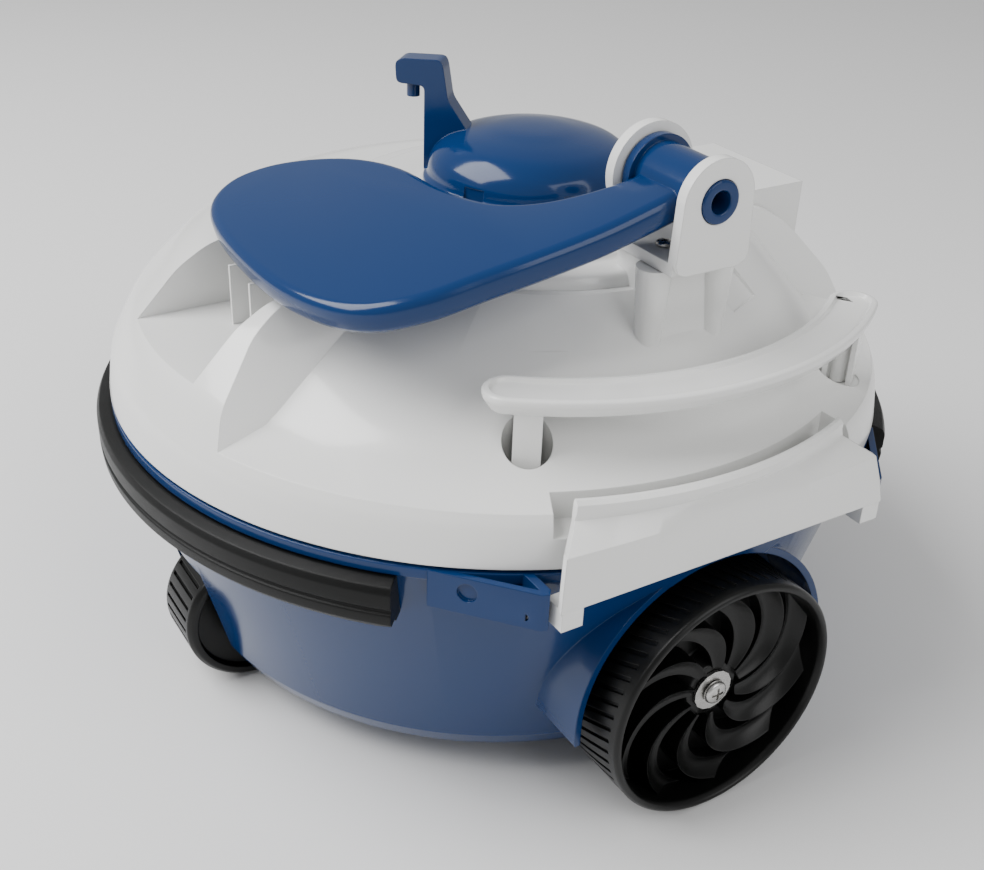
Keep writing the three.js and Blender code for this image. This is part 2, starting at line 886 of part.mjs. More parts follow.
piece(
  "paddle_pivot_tube",
  atCrown(
    cut(
      bar(tubeRadius, [farEar - 1, 0, pivotHeight], [earOuter + 1, 0, pivotHeight], 24),
      bar(4.6, [farEar - 5, 0, pivotHeight], [earOuter + 5, 0, pivotHeight], 24),
    ),
  ),
  blueGloss,
);

// The paddle's outline, seen square on; lengths run from the paddle axis.
const rootNear = nearEar - 3;
const rootFar = farEar + earThickness + 4;
const reachRatio = paddleReach / 149;
const outline = [
  [rootNear, 4],
  [rootNear, -22],
  [rootNear - 0.5, -45],
  [rootNear - 4, -68],
  [rootNear - 9, -92],
  [rootNear - 14, -114],
  [rootNear - 25, -132],
  [rootNear - 46, -143],
  [rootNear - 80, -148.4],
  [rootNear - 128, -147],
  [rootNear - 158, -140],
  [rootNear - 172, -125],
  [rootNear - 171, -107],
  [rootNear - 159, -90],
  [rootNear - 140, -76],
  [rootNear - 115, -68],
  [rootNear - 82, -66],
  [rootNear - 57, -60],
  [rootNear - 42, -49],
  [rootNear - 33, -34],
  [rootFar + 1.2, -15],
  [rootFar - 0.7, 4.6],
];
const bevel = 4.5;
const stretch = reachRatio / Math.cos(paddleSlope * radians);
const curve = new THREE.SplineCurve(
  outline.map(([x, y]) => new THREE.Vector2(x, y * stretch)),
);
const edge = curve.getPoints(55);
const layers = [];
for (let i = 0; i <= 6; i++) {
  // The edge is rounded: each layer is drawn in from the outline and moved up or down.
  const lift = (i / 6 - 0.5) * Math.PI;
  const inset = bevel * (1 - Math.cos(lift));
  const z = Math.sin(lift) * bevel + (i < 3 ? -1 : i > 3 ? 1 : 0) * (paddleThickness / 2 - bevel);
  layers.push(
    edge.map((point, k) => {
      const before = edge[(k + edge.length - 1) % edge.length];
      const after = edge[(k + 1) % edge.length];
      const side = after.clone().sub(before).normalize();
      return [point.x + side.y * inset, point.y - side.x * inset, z];
    }),
  );
}
const tilt = new THREE.Matrix4()
  .makeTranslation(0, 0, pivotHeight)
  .multiply(new THREE.Matrix4().makeRotationX(paddleSlope * radians));
const rootRadius = 13.6;
let paddle = join(
  moved(loft(layers), tilt),
  bar(rootRadius, [rootFar - 2, 0, pivotHeight], [nearEar - 1.2, 0, pivotHeight], 24),
  bar(rootRadius + 2.6, [farEar + earThickness + 1, 0, pivotHeight], [rootFar + 1, 0, pivotHeight], 24),
);
paddle = cut(
  paddle,
  bar(tubeRadius + gap, [farEar, 0, pivotHeight], [earOuter, 0, pivotHeight], 24),
);
piece("paddle", atCrown(paddle), blueGloss);

// ---- Hub cap ---------------------------------------------------------------------------------
const sealTop = well.seat + gap + 1.8;
const capBase = sealTop + gap;
let cap = revolve(
  [
    [0, capBase + capRise - 3],
    [22, capBase + capRise - 5],
    [36, capBase + capRise - 10.5],
    [capRadius - 5, capBase + 8],
    [capRadius - 6, capBase],
    [capRadius - 6, capBase - 7],
    [capRadius - 3.6, capBase - 7],
    [capRadius - 3.6, capBase],
    [capRadius + 2, capBase],
    [capRadius + 2, capBase + 3],
    [capRadius, capBase + 4.5],
    [capRadius - 0.5, capBase + 9],
    [capRadius - 3, capBase + 14.5],
    [capRadius - 9, capBase + 20],
    [30, capBase + capRise - 4],
    [15, capBase + capRise - 1],
    [0, capBase + capRise],
  ],
  28,
);
for (const angle of [-65, -10, 55, 120, 175]) {
  const notch = plateZ(
    [
      [capRadius - 1.2, -5],
      [capRadius + 8, -5],
      [capRadius + 8, 5],
      [capRadius - 1.2, 5],
    ],
    capBase - 1,
    capBase + 9,
  );
  cap = cut(cap, turned(notch, angle));
}
// The lifting hook: an upright post with an outward arm and a small peg under its tip.
const hookTop = capBase + capRise + hookRise;
const hookPost = plateY(
  [
    [capRadius + 2, capBase + 1],
    [capRadius + 2, hookTop - 11.5],
    [capRadius + 15, hookTop - 11],
    [capRadius + 15.6, hookTop - 2],
    [capRadius + 13, hookTop],
    [capRadius - 5, hookTop + 0.6],
    [capRadius - 6.5, hookTop - 2],
    [capRadius - 9, hookTop - 17],
    [capRadius - 19, capBase + capRise - 6],
    [capRadius - 20, capBase + capRise - 13],
    [capRadius - 8, capBase + 12],
    [capRadius - 4.5, capBase + 3],
  ],
  -5.4,
  5.4,
);
const peg = bar(3, [capRadius + 8.5, 0, hookTop - 17.5], [capRadius + 8.5, 0, hookTop - 9], 14);
const hookAngle = -134;
cap = join(cap, turned(join(hookPost, peg), hookAngle));
piece("hub_cap", atCrown(cap), blueGloss);
piece(
  "cap_seal",
  atCrown(
    cut(
      bar(capRadius + 1, [0, 0, well.seat + gap], [0, 0, sealTop], 28),
      bar(capRadius - 3.2, [0, 0, well.seat - 3], [0, 0, sealTop + 3], 28),
    ),
  ),
  blackRubber,
);
piece(
  "charge_socket",
  atCrown(
    cut(
      bar(9, [0, 0, well.floor + gap], [0, 0, well.floor + 5], 14),
      bar(6, [0, 0, well.floor + 2], [0, 0, well.floor + 9], 14),
    ),
  ),
  blackPlastic,
);

// ---- Side wheels -----------------------------------------------------------------------------
const hubFace = wheelFace - 10.4;
const bore = axleRadius + gap;
function wheel() {
  const rimBand = 5;
  let body = revolveX(
    [
      [bore, wheelInner + 2],
      [15, wheelInner + 2],
      [17, hubFace - 12],
      [wheelRadius - rimBand, hubFace - 13],
      [wheelRadius - rimBand, wheelInner],
      [wheelRadius - 1.2, wheelInner],
      [wheelRadius, wheelInner + 1.2],
      [wheelRadius, wheelFace - 1.2],
      [wheelRadius - 1.2, wheelFace],
      [wheelRadius - 3, wheelFace],
      [wheelRadius - rimBand, wheelFace - 2.5],
      [wheelRadius - rimBand - 0.6, hubFace - 9],
      [16, hubFace - 8],
      [13, hubFace],
      [bore, hubFace],
      [bore, wheelInner + 2],
    ],
    0,
    wheelRadius,
    30,
  );
  // Curved spokes swirl from the hub to the rim band, alternately deep and shallow.
  const spokes = 10;
  for (let i = 0; i < spokes; i++) {
    const points = [];
    const back = [];
    const turns = 3;
    for (let k = 0; k <= turns; k++) {
      const s = k / turns;
      const radius = 10 + (wheelRadius - rimBand - 9) * s;
      const angle = (i / spokes) * 2 * Math.PI + 0.95 * s * s;
      const half = (1.5 + 2.2 * s) / radius;
      points.push([radius * Math.cos(angle - half), radius * Math.sin(angle - half)]);
      back.unshift([radius * Math.cos(angle + half), radius * Math.sin(angle + half)]);
    }
    const top = i % 2 ? hubFace + 0.5 : hubFace + 3.5;
    const spoke = plateX(
      [...points, ...back].map(([y, z]) => [y, z + wheelRadius]),
      hubFace - 9,
      top,
    );
    body = join(body, spoke);
  }
  return cut(
    body,
    bar(bore, [wheelInner - 5, 0, wheelRadius], [wheelFace + 5, 0, wheelRadius], 12),
    bar(12.5, [hubFace, 0, wheelRadius], [wheelFace + 5, 0, wheelRadius], 12),
  );
}
const wheelBody = wheel();
piece("wheel_right", wheelBody, blackPlastic);
piece("wheel_left", mirrored(wheelBody, -1, 1), blackPlastic);

const washerStart = hubFace + gap;
const washerEnd = washerStart + 1.3;
const axleEnd = hubFace;
for (const [sideName, side] of [["right", 1], ["left", -1]]) {
  const at = (x) => [side * x, 0, wheelRadius];
  piece(
    "wheel_axle_" + sideName,
    cut(bar(axleRadius, at(wellInner - 19.5), at(axleEnd), 12), bar(2.3, at(axleEnd - 18), at(axleEnd + 4), 12)),
    steel,
  );
  piece(
    "wheel_washer_" + sideName,
    cut(bar(9.5, at(washerStart), at(washerEnd), 14), bar(2.3, at(washerStart - 2), at(washerEnd + 2), 12)),
    steel,
  );
  const headStart = washerEnd + gap;
  const headEnd = headStart + 3.2;
  let head = join(
    bar(5.4, at(headStart), at(headStart + 1.4), 12),
    bar(5.4, at(headStart + 1.3), at(headEnd), 16, 3.6),
    bar(2, at(axleEnd - 16), at(headStart + 0.5), 12),
  );
  const slotStart = Math.min(side * (headEnd - 1.6), side * (headEnd + 3));
  const slotEnd = Math.max(side * (headEnd - 1.6), side * (headEnd + 3));
  head = cut(
    head,
    block(slotStart, slotEnd, -3, 3, wheelRadius - 0.6, wheelRadius + 0.6),
    block(slotStart, slotEnd, -0.6, 0.6, wheelRadius - 3, wheelRadius + 3),
  );
  piece("wheel_screw_" + sideName, head, steel);
}

// ---- Front and rear rollers ------------------------------------------------------------------
for (const [endName, side] of [["front", -1], ["rear", 1]]) {
  const half = rollerWidth / 2;
  const y = side * rollerReach;
  const roller = revolveX(
    [
      [3 + gap, -half],
      [9, -half],
      [10, -half + 5],
      [rollerRadius - 5, -half + 4],
      [rollerRadius - 5, -half],
      [rollerRadius - 2, -half],
      [rollerRadius, -half + 2],
      [rollerRadius, half - 2],
      [rollerRadius - 2, half],
      [rollerRadius - 5, half],
      [rollerRadius - 5, half - 4],
      [10, half - 5],
      [9, half],
      [3 + gap, half],
      [3 + gap, -half],
    ],
    y,
    rollerRadius,
    24,
  );
  piece("roller_" + endName, roller, blackPlastic);
  piece(
    "roller_axle_" + endName,
    bar(
      3,
      [-rollerNotch.half - 3.3, y, rollerRadius],
      [rollerNotch.half + 3.3, y, rollerRadius],
      24,
    ),
    steel,
  );
}

// ---- Suction plate and its two flaps ---------------------------------------------------------
const plateTop = hullFloor - gap;
const plateBottom = plateTop - 3;
const slot = { half: 38, near: 20, far: 40 };
const flapPin = { y: 48, z: plateTop + 3.4, radius: 1.2 };
let basePlate = bar(openingRadius + 12, [0, 0, plateBottom], [0, 0, plateTop], 32);
for (const side of [-1, 1]) {
  basePlate = cut(
    basePlate,
    block(
      -slot.half,
      slot.half,
      Math.min(side * slot.near, side * slot.far),
      Math.max(side * slot.near, side * slot.far),
      0,
      plateTop + 5,
    ),
  );
  for (const end of [-1, 1])
    basePlate = join(
      basePlate,
      block(
        Math.min(end * (slot.half + 6), end * (slot.half + 10)),
        Math.max(end * (slot.half + 6), end * (slot.half + 10)),
        side * flapPin.y - 2.6,
        side * flapPin.y + 2.6,
        plateTop - 1,
        flapPin.z + 2.6,
      ),
    );
  basePlate = cut(
    basePlate,
    bar(
      flapPin.radius + gap,
      [-slot.half - 14, side * flapPin.y, flapPin.z],
      [slot.half + 14, side * flapPin.y, flapPin.z],
      16,
    ),
  );
}
for (const [x, y] of plateScrews)
  basePlate = cut(basePlate, bar(1.9, [x, y, 0], [x, y, hullFloor + 10], 16));
piece("suction_plate", basePlate, blackPlastic);
plateScrews.forEach(([x, y], i) =>
  piece(
    "plate_screw_" + (i + 1),
    join(
      bar(3.4, [x, y, plateBottom - gap - 1.8], [x, y, plateBottom - gap], 14),
      bar(1.6, [x, y, plateBottom - 1], [x, y, hullFloor + wall + 3], 12),
    ),
    steel,
  ),
);
for (const [endName, side] of [["front", -1], ["rear", 1]]) {
  const near = side * (slot.near - 3);
  const far = side * flapPin.y;
  const flap = cut(
    join(
      block(
        -slot.half - 3,
        slot.half + 3,
        Math.min(near, far),
        Math.max(near, far),
        plateTop + gap,
        plateTop + gap + 2,
      ),
      bar(2.7, [-slot.half - 5, far, flapPin.z], [slot.half + 5, far, flapPin.z], 14),
    ),
    bar(flapPin.radius + gap, [-slot.half - 9, far, flapPin.z], [slot.half + 9, far, flapPin.z], 12),
  );
  piece("inlet_flap_" + endName, flap, greyPlastic);
  piece(
    "inlet_pin_" + endName,
    bar(
      flapPin.radius,
      [-slot.half - 10, far, flapPin.z],
      [slot.half + 10, far, flapPin.z],
      16,
    ),
    steel,
  );
}

// ---- Inside: filter basket, deck, motor, impeller, battery and control box --------------------
const basketDepth = 33;
const basket = { half: 72, bottom: deckBottom - basketDepth, top: deckBottom - gap };
let basketSolid = cut(
  block(-basket.half, basket.half, -basket.half, basket.half, basket.bottom, basket.top),
  block(
    -basket.half + 2,
    basket.half - 2,
    -basket.half + 2,
    basket.half - 2,
    basket.bottom + 2,
    basket.top + 5,
  ),
  block(-28, 28, -28, 28, basket.bottom - 3, basket.bottom + 5),
);
for (let i = -2; i <= 2; i++)
  basketSolid = cut(
    basketSolid,
    block(i * 24 - 7, i * 24 + 7, -basket.half - 5, basket.half + 5, basket.bottom + 8, basket.top - 6),
    block(-basket.half - 5, basket.half + 5, i * 24 - 7, i * 24 + 7, basket.bottom + 8, basket.top - 6),
  );
piece("filter_basket", basketSolid, meshGrey);

const deckTop = deckBottom + 4;
const throat = 24;
let deck = join(
  bar(140, [0, 0, deckBottom], [0, 0, deckTop], 32),
  bar(37, [0, 0, deckBottom + 1], [0, 0, deckTop + 11.7], 24),
);
deck = cut(
  deck,
  bar(33, [0, 0, deckTop], [0, 0, deckTop + 30], 24),
  bar(throat, [0, 0, deckBottom - 5], [0, 0, deckTop + 5], 14),
  block(-12, 12, 20, 45, deckTop, deckTop + 8),
  block(-12, 12, -45, -20, deckTop, deckTop + 8),
);
piece("pump_deck", deck, greyPlastic);

const canBottom = deckTop + 12;
const shaftRadius = 2.5;
piece(
  "motor_can",
  cut(
    join(
      bar(37, [0, 0, canBottom], [0, 0, canBottom + 4], 24),
      bar(27, [0, 0, canBottom + 3], [0, 0, canBottom + 56], 24, 26),
    ),
    bar(shaftRadius + gap, [0, 0, canBottom - 5], [0, 0, canBottom + 12], 12),
  ),
  blackPlastic,
);
piece(
  "motor_shaft",
  bar(shaftRadius, [0, 0, deckTop + 0.5], [0, 0, canBottom + 11.5], 12),
  steel,
);
let impeller = join(
  bar(7.5, [0, 0, deckTop + 1.2], [0, 0, deckTop + 9], 12),
  bar(30, [0, 0, deckTop + 7.2], [0, 0, deckTop + 9], 24),
);
for (let i = 0; i < 6; i++)
  impeller = join(impeller, turned(block(5, 29, -1, 1, deckTop + 1.5, deckTop + 8), i * 60));
impeller = cut(impeller, bar(shaftRadius + gap, [0, 0, deckTop - 5], [0, 0, deckTop + 15], 24));
piece("impeller", impeller, greyPlastic);

piece("battery_pack", block(-118, -84, -45, 45, hullFloor + wall + gap, deckBottom - 8), greyPlastic);
piece("control_box", block(84, 118, -40, 40, hullFloor + wall + gap, deckBottom - 16), blackPlastic);

export default root;
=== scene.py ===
import bmesh
import bpy
import json
import math
from mathutils import Matrix, Vector

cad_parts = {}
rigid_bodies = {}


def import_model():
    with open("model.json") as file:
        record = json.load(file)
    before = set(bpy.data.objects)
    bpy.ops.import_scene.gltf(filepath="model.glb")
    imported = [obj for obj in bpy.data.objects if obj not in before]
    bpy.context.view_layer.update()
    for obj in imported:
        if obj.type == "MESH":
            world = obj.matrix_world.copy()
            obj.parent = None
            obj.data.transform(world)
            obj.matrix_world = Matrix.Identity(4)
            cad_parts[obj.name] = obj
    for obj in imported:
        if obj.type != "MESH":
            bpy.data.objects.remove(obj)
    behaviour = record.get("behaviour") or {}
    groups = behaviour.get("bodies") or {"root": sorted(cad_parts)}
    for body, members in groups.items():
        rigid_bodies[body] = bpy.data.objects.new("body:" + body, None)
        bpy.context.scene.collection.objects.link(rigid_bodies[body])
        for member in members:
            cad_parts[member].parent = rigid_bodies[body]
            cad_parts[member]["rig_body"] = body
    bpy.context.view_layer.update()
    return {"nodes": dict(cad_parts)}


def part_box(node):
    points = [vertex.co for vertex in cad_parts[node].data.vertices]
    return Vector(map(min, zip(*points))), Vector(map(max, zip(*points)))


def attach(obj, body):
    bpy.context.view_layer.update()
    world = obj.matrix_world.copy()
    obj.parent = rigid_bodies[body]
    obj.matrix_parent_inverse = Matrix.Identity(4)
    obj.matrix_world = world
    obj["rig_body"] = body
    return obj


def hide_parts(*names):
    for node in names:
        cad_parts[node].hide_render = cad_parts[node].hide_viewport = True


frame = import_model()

print("stage: frame loaded,", len(frame["nodes"]), "nodes")


# Places read from the frame, in millimetres, the unit that every shape below is drawn in.
def boxOf(node):
    low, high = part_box(node)
    return [v * 1000 for v in low], [v * 1000 for v in high]


coverLow, coverHigh = boxOf("top_cover")
wheelLow, wheelHigh = boxOf("wheel_right")
tubeLow, tubeHigh = boxOf("paddle_pivot_tube")
sealLow, sealHigh = boxOf("cap_seal")
gripLow, gripHigh = boxOf("carry_handle")
rollerLow, rollerHigh = boxOf("roller_front")
rimHeight = coverLow[2]
rimRadius = -coverLow[1]
wheelRadius = (wheelHigh[2] - wheelLow[2]) / 2
wheelFace = wheelHigh[0]
wheelInner = wheelLow[0]
crownY = (tubeLow[1] + tubeHigh[1]) / 2
pivotHeight = (tubeLow[2] + tubeHigh[2]) / 2
earOuter = tubeHigh[0] - 1
farEar = tubeLow[0] + 1
sealTop = sealHigh[2]
capRadius = (sealHigh[0] - sealLow[0]) / 2 - 1
flatX = 173
wall = 3
gap = 0.3


def above(z):
    return rimHeight + z


# Mesh helpers: closed solids drawn in millimetres, joined and cut with boolean modifiers.

def solidFrom(points, faces):
    mesh = bpy.data.meshes.new("solid")
    mesh.from_pydata([tuple(p) for p in points], [], faces)
    work = bmesh.new()
    work.from_mesh(mesh)
    bmesh.ops.remove_doubles(work, verts=work.verts, dist=1e-4)
    bmesh.ops.recalc_face_normals(work, faces=work.faces)
    work.to_mesh(mesh)
    work.free()
    made = bpy.data.objects.new("solid", mesh)
    bpy.context.scene.collection.objects.link(made)
    return made


def polar(radius, degrees):
    return radius * math.cos(math.radians(degrees)), radius * math.sin(math.radians(degrees))


def rounded(points, radius, steps=4):
    # Softens the corners of a closed outline; a corner uses at most 45% of each side next to it.
    points = [Vector(p) for p in points]
    made = []
    for i, corner in enumerate(points):
        before, after = points[i - 1], points[(i + 1) % len(points)]
        if corner.x < 1e-6:
            made.append(tuple(corner))
            continue
        near = min(radius, 0.45 * (before - corner).length)
        far = min(radius, 0.45 * (after - corner).length)
        start = corner + (before - corner).normalized() * near
        end = corner + (after - corner).normalized() * far
        for k in range(steps + 1):
            t = k / steps
            made.append(tuple(start * (1 - t) ** 2 + corner * 2 * t * (1 - t) + end * t**2))
    return made


def lathe(profile, sides=192):
    # A closed outline of (radius, height) turned about the upright axis.
    points = []
    faces = []
    count = len(profile)
    for i in range(sides):
        c, s = polar(1, 360 * i / sides)
        points += [(r * c, r * s, z) for r, z in profile]
    for i in range(sides):
        a, b = i * count, (i + 1) % sides * count
        for k in range(count):
            n = (k + 1) % count
            if profile[k][0] < 1e-6 and profile[n][0] < 1e-6:
                continue
            faces.append((a + k, b + k, b + n, a + n))
    return solidFrom(points, faces)


def prism(outline, low, high, axis="z"):
    # An outline pushed along an axis: (x, y) along z, (y, z) along x, (x, z) along y.
    place = {
        "z": lambda a, b, h: (a, b, h),
        "x": lambda a, b, h: (h, a, b),
        "y": lambda a, b, h: (a, h, b),
    }[axis]
    count = len(outline)
    points = [place(a, b, low) for a, b in outline] + [place(a, b, high) for a, b in outline]
    faces = [tuple(range(count)), tuple(range(count, 2 * count))]
    faces += [(k, (k + 1) % count, (k + 1) % count + count, k + count) for k in range(count)]
    return solidFrom(points, faces)


def block(x0, x1, y0, y1, z0, z1):
    return prism([(x0, y0), (x1, y0), (x1, y1), (x0, y1)], min(z0, z1), max(z0, z1))


def bar(radius, start, end, sides=48, endRadius=None):
    endRadius = radius if endRadius is None else endRadius
    start, end = Vector(start), Vector(end)
    turn = (end - start).to_track_quat("Z", "Y")
    points = []
    for centre, r in ((start, radius), (end, endRadius)):
        for i in range(sides):
            c, s = polar(r, 360 * i / sides)
            points.append(centre + turn @ Vector((c, s, 0)))
    faces = [tuple(range(sides)), tuple(range(sides, 2 * sides))]
    faces += [(k, (k + 1) % sides, (k + 1) % sides + sides, k + sides) for k in range(sides)]
    return solidFrom(points, faces)


def loft(rows):
    # A skin through closed rows of points, capped at both ends.
    count = len(rows[0])
    points = [p for row in rows for p in row]
    faces = [tuple(range(count)), tuple(range(len(points) - count, len(points)))]
    for i in range(len(rows) - 1):
        for k in range(count):
            n = (k + 1) % count
            faces.append((i * count + k, i * count + n, (i + 1) * count + n, (i + 1) * count + k))
    return solidFrom(points, faces)


def place(solid, matrix):
    solid.data.transform(matrix)
    if matrix.determinant() < 0:
        solid.data.flip_normals()
    return solid


def combine(base, operation, *tools):
    for tool in tools:
        modifier = base.modifiers.new("join", "BOOLEAN")
        modifier.operation = operation
        modifier.solver = "MANIFOLD"
        modifier.object = tool
        view = bpy.context.evaluated_depsgraph_get()
        mesh = bpy.data.meshes.new_from_object(base.evaluated_get(view))
        base.modifiers.clear()
        base.data = mesh
        bpy.data.objects.remove(tool)
    return base


def join(base, *tools):
    return combine(base, "UNION", *tools)


def cut(base, *tools):
    return combine(base, "DIFFERENCE", *tools)


def common(base, *tools):
    return combine(base, "INTERSECT", *tools)


def ringPart(profile, start, end, sides=192):
    fan = [(0, 0)] + [polar(400, start + (end - start) * i / 16) for i in range(17)]
    return common(lathe(profile, sides), prism(fan, -60, 400))


def atCrown(solid):
    return place(solid, Matrix.Translation((0, crownY, 0)))


# Geometry nodes: copies of one master set round the upright axis.

def ringTree():
    tree = bpy.data.node_groups.new("copies in a ring", "GeometryNodeTree")
    face = tree.interface
    face.new_socket("Geometry", in_out="OUTPUT", socket_type="NodeSocketGeometry")
    for label, kind in (
        ("Master", "NodeSocketObject"),
        ("Count", "NodeSocketInt"),
        ("Step", "NodeSocketFloat"),
        ("Material", "NodeSocketMaterial"),
    ):
        face.new_socket(label, in_out="INPUT", socket_type=kind)
    nodes, links = tree.nodes, tree.links
    given = nodes.new("NodeGroupInput")
    points = nodes.new("GeometryNodePoints")
    master = nodes.new("GeometryNodeObjectInfo")
    index = nodes.new("GeometryNodeInputIndex")
    angle = nodes.new("ShaderNodeMath")
    angle.operation = "MULTIPLY"
    euler = nodes.new("ShaderNodeCombineXYZ")
    turn = nodes.new("FunctionNodeEulerToRotation")
    copies = nodes.new("GeometryNodeInstanceOnPoints")
    real = nodes.new("GeometryNodeRealizeInstances")
    paint = nodes.new("GeometryNodeSetMaterial")
    out = nodes.new("NodeGroupOutput")
    links.new(given.outputs["Count"], points.inputs["Count"])
    links.new(given.outputs["Master"], master.inputs["Object"])
    links.new(index.outputs[0], angle.inputs[0])
    links.new(given.outputs["Step"], angle.inputs[1])
    links.new(angle.outputs[0], euler.inputs["Z"])
    links.new(euler.outputs[0], turn.inputs[0])
    links.new(points.outputs[0], copies.inputs["Points"])
    links.new(master.outputs["Geometry"], copies.inputs["Instance"])
    links.new(turn.outputs[0], copies.inputs["Rotation"])
    links.new(copies.outputs[0], real.inputs[0])
    links.new(real.outputs[0], paint.inputs["Geometry"])
    links.new(given.outputs["Material"], paint.inputs["Material"])
    links.new(paint.outputs[0], out.inputs[0])
    return tree


ringNodes = ringTree()


def copiesInRing(master, count, finish):
    # count copies, evenly spaced
    holder = bpy.data.objects.new("ring", bpy.data.meshes.new("ring"))
    bpy.context.scene.collection.objects.link(holder)
    modifier = holder.modifiers.new("ring", "NODES")
    modifier.node_group = ringNodes
    values = {
        "Master": master,
        "Count": count,
        "Step": 2 * math.pi / count,
        "Material": finishes[finish],
    }
    for item in ringNodes.interface.items_tree:
        if item.in_out == "INPUT":
            modifier[item.identifier] = values[item.name]
    view = bpy.context.evaluated_depsgraph_get()
    mesh = bpy.data.meshes.new_from_object(holder.evaluated_get(view))
    holder.modifiers.clear()
    holder.data = mesh
    bpy.data.objects.remove(master)
    return holder


# Materials.

class Value:
    def __init__(self, socket):
        self.socket = socket

    def use(self, operation, other, flip=False):
        node = self.socket.id_data.nodes.new("ShaderNodeMath")
        node.operation = operation
        pair = (other, self) if flip else (self, other)
        for slot, given in zip(node.inputs, pair):
            if isinstance(given, Value):
                self.socket.id_data.links.new(given.socket, slot)
            else:
                slot.default_value = given
        return Value(node.outputs[0])

    def __add__(self, other):
        return self.use("ADD", other)

    def __radd__(self, other):
        return self.use("ADD", other)

    def __sub__(self, other):
        return self.use("SUBTRACT", other)

    def __rsub__(self, other):
        return self.use("SUBTRACT", other, True)

    def __mul__(self, other):
        return self.use("MULTIPLY", other)

    def __rmul__(self, other):
        return self.use("MULTIPLY", other)


class Finish:
    def __init__(self, name):
        self.material = bpy.data.materials.new(name)
        self.material.use_nodes = True
        self.tree = self.material.node_tree
        self.shader = self.tree.nodes["Principled BSDF"]
        self.where = self.node("ShaderNodeTexCoord", output="Object")

    def node(self, kind, settings=None, output=0, **inputs):
        made = self.tree.nodes.new(kind)
        for key, value in (settings or {}).items():
            if key == "stops":
                for stop, (position, colour) in zip(made.color_ramp.elements, value):
                    stop.position = position
                    stop.color = colour
            else:
                setattr(made, key, value)
        for key, value in inputs.items():
            slot = made.inputs[key.replace("_", " ")]
            if isinstance(value, Value):
                self.tree.links.new(value.socket, slot)
            else:
                slot.default_value = value
        return Value(made.outputs[output])

    def feed(self, **inputs):
        for key, value in inputs.items():
            slot = self.shader.inputs[key.replace("_", " ")]
            if isinstance(value, Value):
                self.tree.links.new(value.socket, slot)
            else:
                slot.default_value = value

    def noise(self, scale, detail=3.0, roughness=0.5):
        return self.node(
            "ShaderNodeTexNoise", Vector=self.where, Scale=scale, Detail=detail, Roughness=roughness
        )

    def mix(self, factor, first, second):
        made = self.tree.nodes.new("ShaderNodeMix")
        made.data_type = "RGBA"
        self.tree.links.new(factor.socket, made.inputs[0])
        colours = [s for s in made.inputs if s.type == "RGBA"]
        for slot, value in zip(colours, (first, second)):
            if isinstance(value, Value):
                self.tree.links.new(value.socket, slot)
            else:
                slot.default_value = value
        return Value([s for s in made.outputs if s.type == "RGBA"][0])


plastics = {
    "white": {
        "name": "white_gloss",
        "colour": (0.80, 0.80, 0.785, 1),
        "worn": (0.74, 0.745, 0.735, 1),
        "rough": 0.2,
        "coat": 0.3,
        "edge": 0.0007,
        "grain": 700.0,
        "grainDepth": 0.05,
        "specular": 0.5,
    },
    "blue": {
        "name": "blue_gloss",
        "colour": (0.0014, 0.023, 0.098, 1),
        "worn": (0.0025, 0.032, 0.125, 1),
        "rough": 0.14,
        "coat": 0.1,
        "edge": 0.0007,
        "grain": 700.0,
        "grainDepth": 0.05,
        "specular": 0.32,
    },
    "black": {
        "name": "black_plastic",
        "colour": (0.0016, 0.0018, 0.0017, 1),
        "worn": (0.004, 0.0042, 0.004, 1),
        "rough": 0.32,
        "coat": 0.0,
        "edge": 0.0005,
        "grain": 2200.0,
        "grainDepth": 0.5,
        "specular": 0.28,
    },
    "rubber": {
        "name": "black_rubber",
        "colour": (0.0016, 0.0018, 0.0018, 1),
        "worn": (0.004, 0.0042, 0.004, 1),
        "rough": 0.4,
        "coat": 0.0,
        "edge": 0.0009,
        "grain": 3000.0,
        "grainDepth": 0.9,
        "specular": 0.2,
    },
    "grey": {
        "name": "grey_plastic",
        "colour": (0.09, 0.095, 0.10, 1),
        "worn": (0.14, 0.145, 0.15, 1),
        "rough": 0.45,
        "coat": 0.05,
        "edge": 0.0005,
        "grain": 2400.0,
        "grainDepth": 0.4,
        "specular": 0.5,
    },
}


def mouldedPlastic(look):
    # Moulded plastic: slow colour drift, uneven gloss, a few specks, rounded edges and a fine grain.
    finish = Finish(look["name"])
    drift = finish.noise(9.0, 4.0)
    patches = finish.noise(38.0, 6.0, 0.62)
    specks = finish.node(
        "ShaderNodeValToRGB",
        {"stops": [(0.66, (0, 0, 0, 1)), (0.74, (1, 1, 1, 1))]},
        Fac=finish.noise(900.0, 2.0),
    )
    shade = finish.mix(drift * 0.5, look["colour"], look["worn"])
    wave = finish.noise(26.0, 2.0)
    fine = finish.noise(look["grain"], 2.0)
    relief = finish.node(
        "ShaderNodeBump",
        Height=wave * 0.35 + fine * look["grainDepth"],
        Distance=0.0004,
        Strength=0.35,
        Normal=finish.node("ShaderNodeBevel", {"samples": 6}, Radius=look["edge"]),
    )
    finish.feed(
        Base_Color=finish.mix(specks * 0.12, shade, look["worn"]),
        Roughness=look["rough"] - 0.05 + patches * 0.1 + specks * 0.06,
        Normal=relief,
        Coat_Weight=look["coat"],
        Coat_Roughness=0.06,
        Specular_IOR_Level=look["specular"],
    )
    return finish.material


